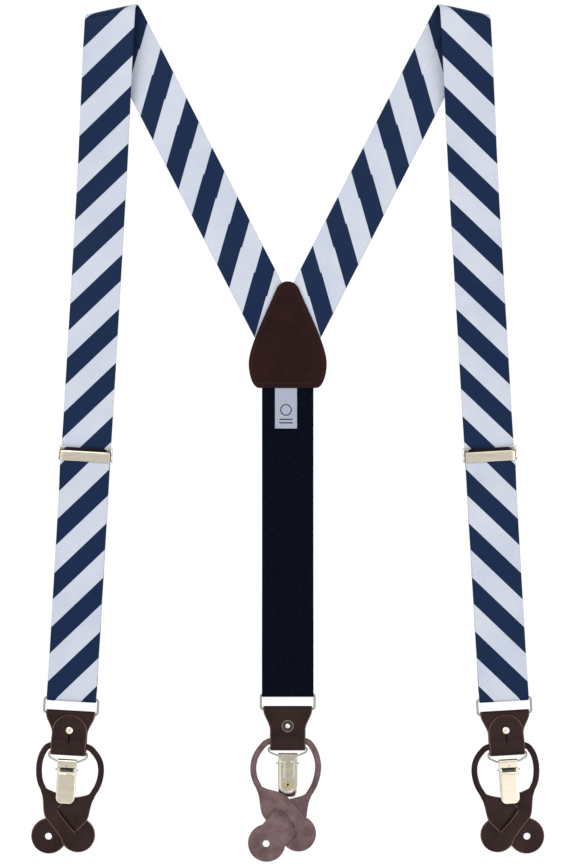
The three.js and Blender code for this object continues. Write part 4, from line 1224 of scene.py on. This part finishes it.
def addCover(name):
    # The folding cover: a flat face with turned-down sides, a crease under its hinge and a rounded foot.
    foot, top, middle = clip["coverBottom"], clip["coverTop"], clip["coverMiddle"]
    rows = [(y, middle) for y in foot + 2.5 * np.linspace(0, 1, 16) ** 2] + line(foot + 3, top, 50,
        lambda y: middle)
    points, _, (_, height) = sideSheet(
        rows, coverHalfAt, clip["plate"], 0.3, bandSection(np.linspace(-1, 1, 21), 3), step=0.4)
    x, y = points[..., 0], points[..., 1]
    bend = 0.1 * smoothStep(np.abs(x), clip["coverHalf"] - 0.8,
        clip["coverHalf"]) + 0.1 * (1 - smoothStep(y, foot, foot + 0.9))
    crease = 0.28 * np.exp(-((y + 52.0 + 0.04 * x) / 0.2) ** 2) * (height > 0.1)
    points[..., 2] -= bend + crease
    lugs = []
    for side in (-1, 1):
        lugs.append(box3((side * 5.4 - 0.4, -50.9, 6.5), (side * 5.4 + 0.4, -48.2, 8.0)))
    piece = legPiece(f"clipCover_{name}", name, [{"points": points}] + lugs, "nickel", f"clip_cover_{name}")
    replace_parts(piece, f"clip_cover_{name}")
    neck = turned([(0.001, 6.4), (1.35, 6.4), (1.35, 7.5), (0.001, 7.5)], 0, -52.6, 20)
    legPiece(f"coverNeck_{name}", name, [neck], "nickel", f"clip_cover_{name}")


for name in legNames:
    addTab(name)
    addFlap(name)
    addStud(name)
    addWires(name)
    addClipPlate(name)
    addClipFittings(name)
    addCover(name)
print("leg hardware made")


# button loops
tail = {"half": 10.8, "cord": 2.1, "flareFrom": -2.0, "flareTo": 17.0, "slit": 18.0, "slitHalf": 2.5,
    "slitInset": 2.4, "hole": 2.45}
frontLoop = {
    "leftCord": [(-15.6, -65.2), (-18.6, -59), (-19.8, -51), (-19.3, -44), (-17.4, -38.2), (-13.4, -33.6)],
    "rightCord": [(13.6, -33.4), (18.4, -37), (22.2, -42.6), (23.6, -49.4), (22.3, -58.6), (18, -67.4)],
    "slitEar": (9.8, -95.1, 12.1), "throughEar": (-10.3, -97.1, 12.5), "droop": 0.0,
}
backLoop = {
    "leftCord": [(-19.6, -66.2), (-23, -59), (-24, -51.7), (-22.6, -44.6), (-18.6, -38), (-13.4, -33.6)],
    "rightCord": [(13.4, -33.6), (17.6, -38), (20.4, -45), (21.2, -52.5), (19, -62.6), (14, -71.8)],
    "slitEar": (7.4, -96.9, 12.3), "throughEar": (-14.6, -103, 13.0), "droop": 1.0,
}
slitHeight, throughLow, throughRise = 2.25, 0.65, 3.2


def tailHalf(along, radius, length):
    # Half width of a tail, from its ear's tip: the ear's circle, the straight part, then the flare to the
    # cord.
    circle = np.sqrt(np.maximum(radius ** 2 - (along - radius) ** 2, 0))
    fromCord = length - along
    straight = tail["cord"] + (tail["half"] - tail["cord"]) * smoothStep(fromCord, tail["flareFrom"],
        tail["flareTo"])
    return np.where(along < radius, circle, np.maximum(circle, straight))


def loftedStrip(path, stations, half, thick, corner):
    # A section that changes from flat leather to a round cord along a path lying nearly level.
    centre, along = followed(path, stations)
    across = np.stack([along[:, 1], -along[:, 0], 0 * stations], -1)
    across /= np.linalg.norm(across, axis=1, keepdims=True)
    up = np.cross(across, along)
    radius = np.minimum(corner, thick / 2)[:, None]
    offsets = bandOffsets(leatherSection, half, thick, radius, leather["hem"] + 0.4)
    flat = (thick < 1.7)[:, None]
    offsets = (offsets[0], np.where(flat, creased(*offsets, half), offsets[1]))
    rim = (np.abs(leatherSection[1]) == 2)[None] & flat
    fleshAndShade = np.broadcast_to(leatherSection[5] < 0, offsets[0].shape)
    return {"points": carried(centre, across, up, offsets), "rim": rim * 1.0, "fleshAndShade": fleshAndShade}


def tailStations(radius, length):
    # Rows crowd at the ear's tip, where the outline turns fastest.
    return np.concatenate([3.0 * np.linspace(0, 1, 24) ** 2,
        np.linspace(3.0, length, int(length / 0.7))[1:]])


def earTip(ear, cordStart):
    ear, cordStart = np.array(ear, float), np.array(cordStart, float)
    direction = (ear[:2] - cordStart) / np.linalg.norm(ear[:2] - cordStart)
    return ear[:2] + direction * ear[2]


def droopAt(loop, y):
    return loop["droop"] * 3.6 * smoothStep(-y, 76, 98)


def addLoop(name):
    loop, hand = (backLoop, -1) if name == "back" else (frontLoop, -sideSign[name])
    mirror = hand < 0
    slitEar = np.array(loop["slitEar"])
    start = loop["leftCord"][0]
    count = len(loop["leftCord"]) - 1
    foldZ, high = tab["foldZ"], throughLow + throughRise
    cord = [(x, y, slitHeight + (foldZ - slitHeight) * float(smoothStep(n, 0, count))) for n,
        (x, y) in enumerate(loop["leftCord"])]
    cord += [(x, y, foldZ + (high - foldZ) * float(smoothStep(n, 0, count))) for n,
        (x, y) in enumerate(loop["rightCord"])]
    curve = catmull(cord, 260)
    tip = earTip(slitEar, start)
    straight = np.linspace([*tip, slitHeight], [start[0], start[1], slitHeight], 40)[:-1]
    path = np.vstack([straight, curve])
    length = float(np.linalg.norm(tip - np.array(start)))
    total = pathLength(path)
    stations = np.concatenate([tailStations(slitEar[2], length + 6),
        np.linspace(length + 6, total, 240)[1:]])
    flatness = 1 - smoothStep(stations, length - 8, length + 3)
    half = np.maximum(np.where(stations < length, tailHalf(stations, slitEar[2], length), tail["cord"]),
        0.05)
    half = np.where(stations > length - 17, np.minimum(half, tail["cord"] + (tail["half"] - tail["cord"])
                    * smoothStep(length - stations, tail["flareFrom"], tail["flareTo"])), half)
    thick = leather["thick"] + (2 * tail["cord"] - leather["thick"]) * (1 - flatness)
    thick = np.minimum(thick, 2 * half)
    corner = leather["edge"] + (tail["cord"] - leather["edge"]) * (1 - flatness)
    slitted = loftedStrip(path, stations, np.maximum(half, tail["cord"] * (1 - flatness)), thick, corner)
    slitted["points"][..., 2] -= droopAt(loop, slitted["points"][..., 1])
    axis = (slitEar[:2] - np.array(start)) / np.linalg.norm(slitEar[:2] - np.array(start))
    normal = np.array([-axis[1], axis[0]])
    middle = slitEar[:2] - axis * (tail["slitInset"] + tail["slit"] / 2 + 1.5)
    along = np.linspace(-1, 1, 22)
    lens = tail["slitHalf"] * np.sqrt(np.maximum(1 - along ** 2, 0))
    upper = middle + along[:, None] * axis * tail["slit"] / 2 + lens[:, None] * normal
    lower = middle + along[::-1, None] * axis * tail["slit"] / 2 - lens[::-1, None] * normal * 0.5
    outline = np.vstack([upper, lower[1:-1]])
    lip = np.array([(-5.6, -79.2), (1.1, -86.9), (7.8, -93.7)])
    lip = np.column_stack([lip, np.full(3, slitHeight + leather["thick"] / 2 - 0.05)])
    piece = addPiece(f"buttonLoop_{name}", [settle(name, slitted, mirror)], ["leather", "suede"])
    punched(piece, [settle(name, prism(outline, -4.5, 8, 0.02), mirror)])
    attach(piece, f"button_loop_{name}")
    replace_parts(piece, f"button_loop_{name}")
    if name != "back":
        # A thin rod along the slit's lower lip, all in the rim colour: a painted highlight line on the cut
        # edge.
        edge = {**rod(lip, 0.24, 10, 0.6), "rim": 1.0}
        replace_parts(legPiece(f"slitLip_{name}", name, [edge], "leather", f"button_loop_{name}", mirror))
    addThroughTail(name, loop, mirror, axis, normal, middle)


def addThroughTail(name, loop, mirror, axis, normal, middle):
    # The other tail: over the slitted one beside the cord, down through the slit and under it to its ear.
    ear, end = np.array(loop["throughEar"]), np.array(loop["rightCord"][-1])
    before = np.array(loop["rightCord"][-2])
    inside = end + (before - end) / np.linalg.norm(before - end) * 3
    tip = earTip(ear, end)
    path = np.vstack([np.linspace(tip, end, 60), inside[None]])
    path = np.column_stack([path, 0 * path[:, 0]])
    length = float(np.linalg.norm(tip - end))
    stations = np.concatenate([tailStations(ear[2], length), [length + 1.2, length + 2.6]])
    half = np.maximum(tailHalf(stations, ear[2], length), 0.05)
    half = np.where(stations > length - 17, np.minimum(half, tail["cord"] + (tail["half"] - tail["cord"])
                    * smoothStep(length - stations, tail["flareFrom"], tail["flareTo"])), half)
    flatness = 1 - smoothStep(stations, length - 8, length + 3)
    thick = np.minimum(leather["thick"] + (2 * tail["cord"] - leather["thick"]) * (1 - flatness), 2 * half)
    corner = leather["edge"] + (tail["cord"] - leather["edge"]) * (1 - flatness)
    strip = loftedStrip(path, stations, half, thick, corner)
    points = strip["points"]
    side = (points[..., :2] - middle) @ normal
    rightwards = 1.0 if (end - middle) @ normal > 0 else -1.0
    points[..., 2] += throughLow + throughRise * smoothStep(side * rightwards, -1.5, 2.3) - droopAt(loop,
        points[..., 1])
    piece = addPiece(f"buttonTail_{name}", [settle(name, strip, mirror)], ["leather", "suede"])
    angle = np.linspace(0, 2 * math.pi, 28, endpoint=False)
    direction = (ear[:2] - end) / np.linalg.norm(ear[:2] - end)
    centre = ear[:2] + direction * 0.6
    hole = np.column_stack([centre[0] + tail["hole"] * np.cos(angle),
        centre[1] + tail["hole"] * np.sin(angle)])
    punched(piece, [settle(name, prism(hole, -6, 4, 0.02), mirror)])
    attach(piece, f"button_loop_{name}")
    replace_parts(piece)


# adjusters
def addAdjuster(name):
    base = strap["adjuster"]
    half, cheek, low, high = adjuster["halfWidth"], adjuster["cheek"], adjuster["low"], adjuster["high"]
    top = adjuster["cheekHeight"]
    outline = [(low, 0), (high, 0), (high, top - 1), (high - 0.3, top - 0.3), (high - 1, top),
        (low + 2, top), (low + 0.6, top - 0.6), (low, top - 2)]
    outline = [(y + base, z) for y, z in outline]
    cheeks = [acrossPrism(outline, -half, -half + cheek, 0.12),
        acrossPrism(outline, half - cheek, half, 0.12)]
    back = box3((-half + 0.1, base + low + 1, 0), (half - 0.1, base + high - 1.6, adjuster["plate"]))
    y, z = base + adjuster["foldBarY"], adjuster["foldBarZ"]
    bar = rod(np.array([(-half + 0.3, y, z), (0, y, z), (half - 0.3, y, z)]), adjuster["foldBarRadius"],
        14, 1.0)
    piece = legPiece(f"adjusterFrame_{name}", name, cheeks + [back, bar], "nickel", f"buckle_{name}")
    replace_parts(piece, f"adjuster_frame_{name}")
    addLever(name, base)


def addLever(name, base):
    # The lever: a flat bright face, then a narrower slope that runs down to its pivot, painted near-black
    # as a dark reflection.
    low, face, slope = adjuster["low"], adjuster["face"], adjuster["slope"]
    middle = adjuster["leverTop"] - adjuster["leverThick"] / 2
    crest = low + face
    foot = (crest + slope - 0.6, adjuster["pivotZ"])
    corner = roundedPath([(0, low, middle), (0, crest, middle), (0, *foot)], 0.5, 6)
    profile = [(base + y, z) for _, y, z in corner]
    length = pathLength([(0, y, z) for y, z in profile])

    def halfAt(y, along):
        ends = np.sqrt(np.maximum(0.64 - np.maximum(0.8 - along, 0) ** 2, 0)) - 0.8
        sloping = 15.9 - 2.1 * np.clip((along - face) / (length - face), 0, 1)
        return np.where(along < face - 0.15, strap["width"] / 2 + ends, sloping)

    points, stations, _ = sideSheet(profile, halfAt, adjuster["leverThick"], 0.22,
        bandSection(np.linspace(-1, 1, 15), 3), step=0.25)
    # Faces on the slope take the second look, the near-black painted reflection.
    sloping = np.broadcast_to((stations > face + 0.15)[:, None], points.shape[:2])
    half = adjuster["halfWidth"]
    y, z = base + adjuster["pivotY"], adjuster["pivotZ"]
    pins = [rod(np.array([(side * 13.5, y, z), (side * (half + 0.05), y, z)]), 0.5, 14,
        0.6) for side in (-1, 1)]
    piece = legPiece(f"adjusterLever_{name}", name, [{"points": points, "fleshAndShade": sloping}] + pins,
        ["nickel", "shade"], f"lever_{name}")
    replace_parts(piece, f"adjuster_lever_{name}")


for name in legNames:
    addLoop(name)
for name in sideSign:
    addAdjuster(name)
print("loops and adjusters made")
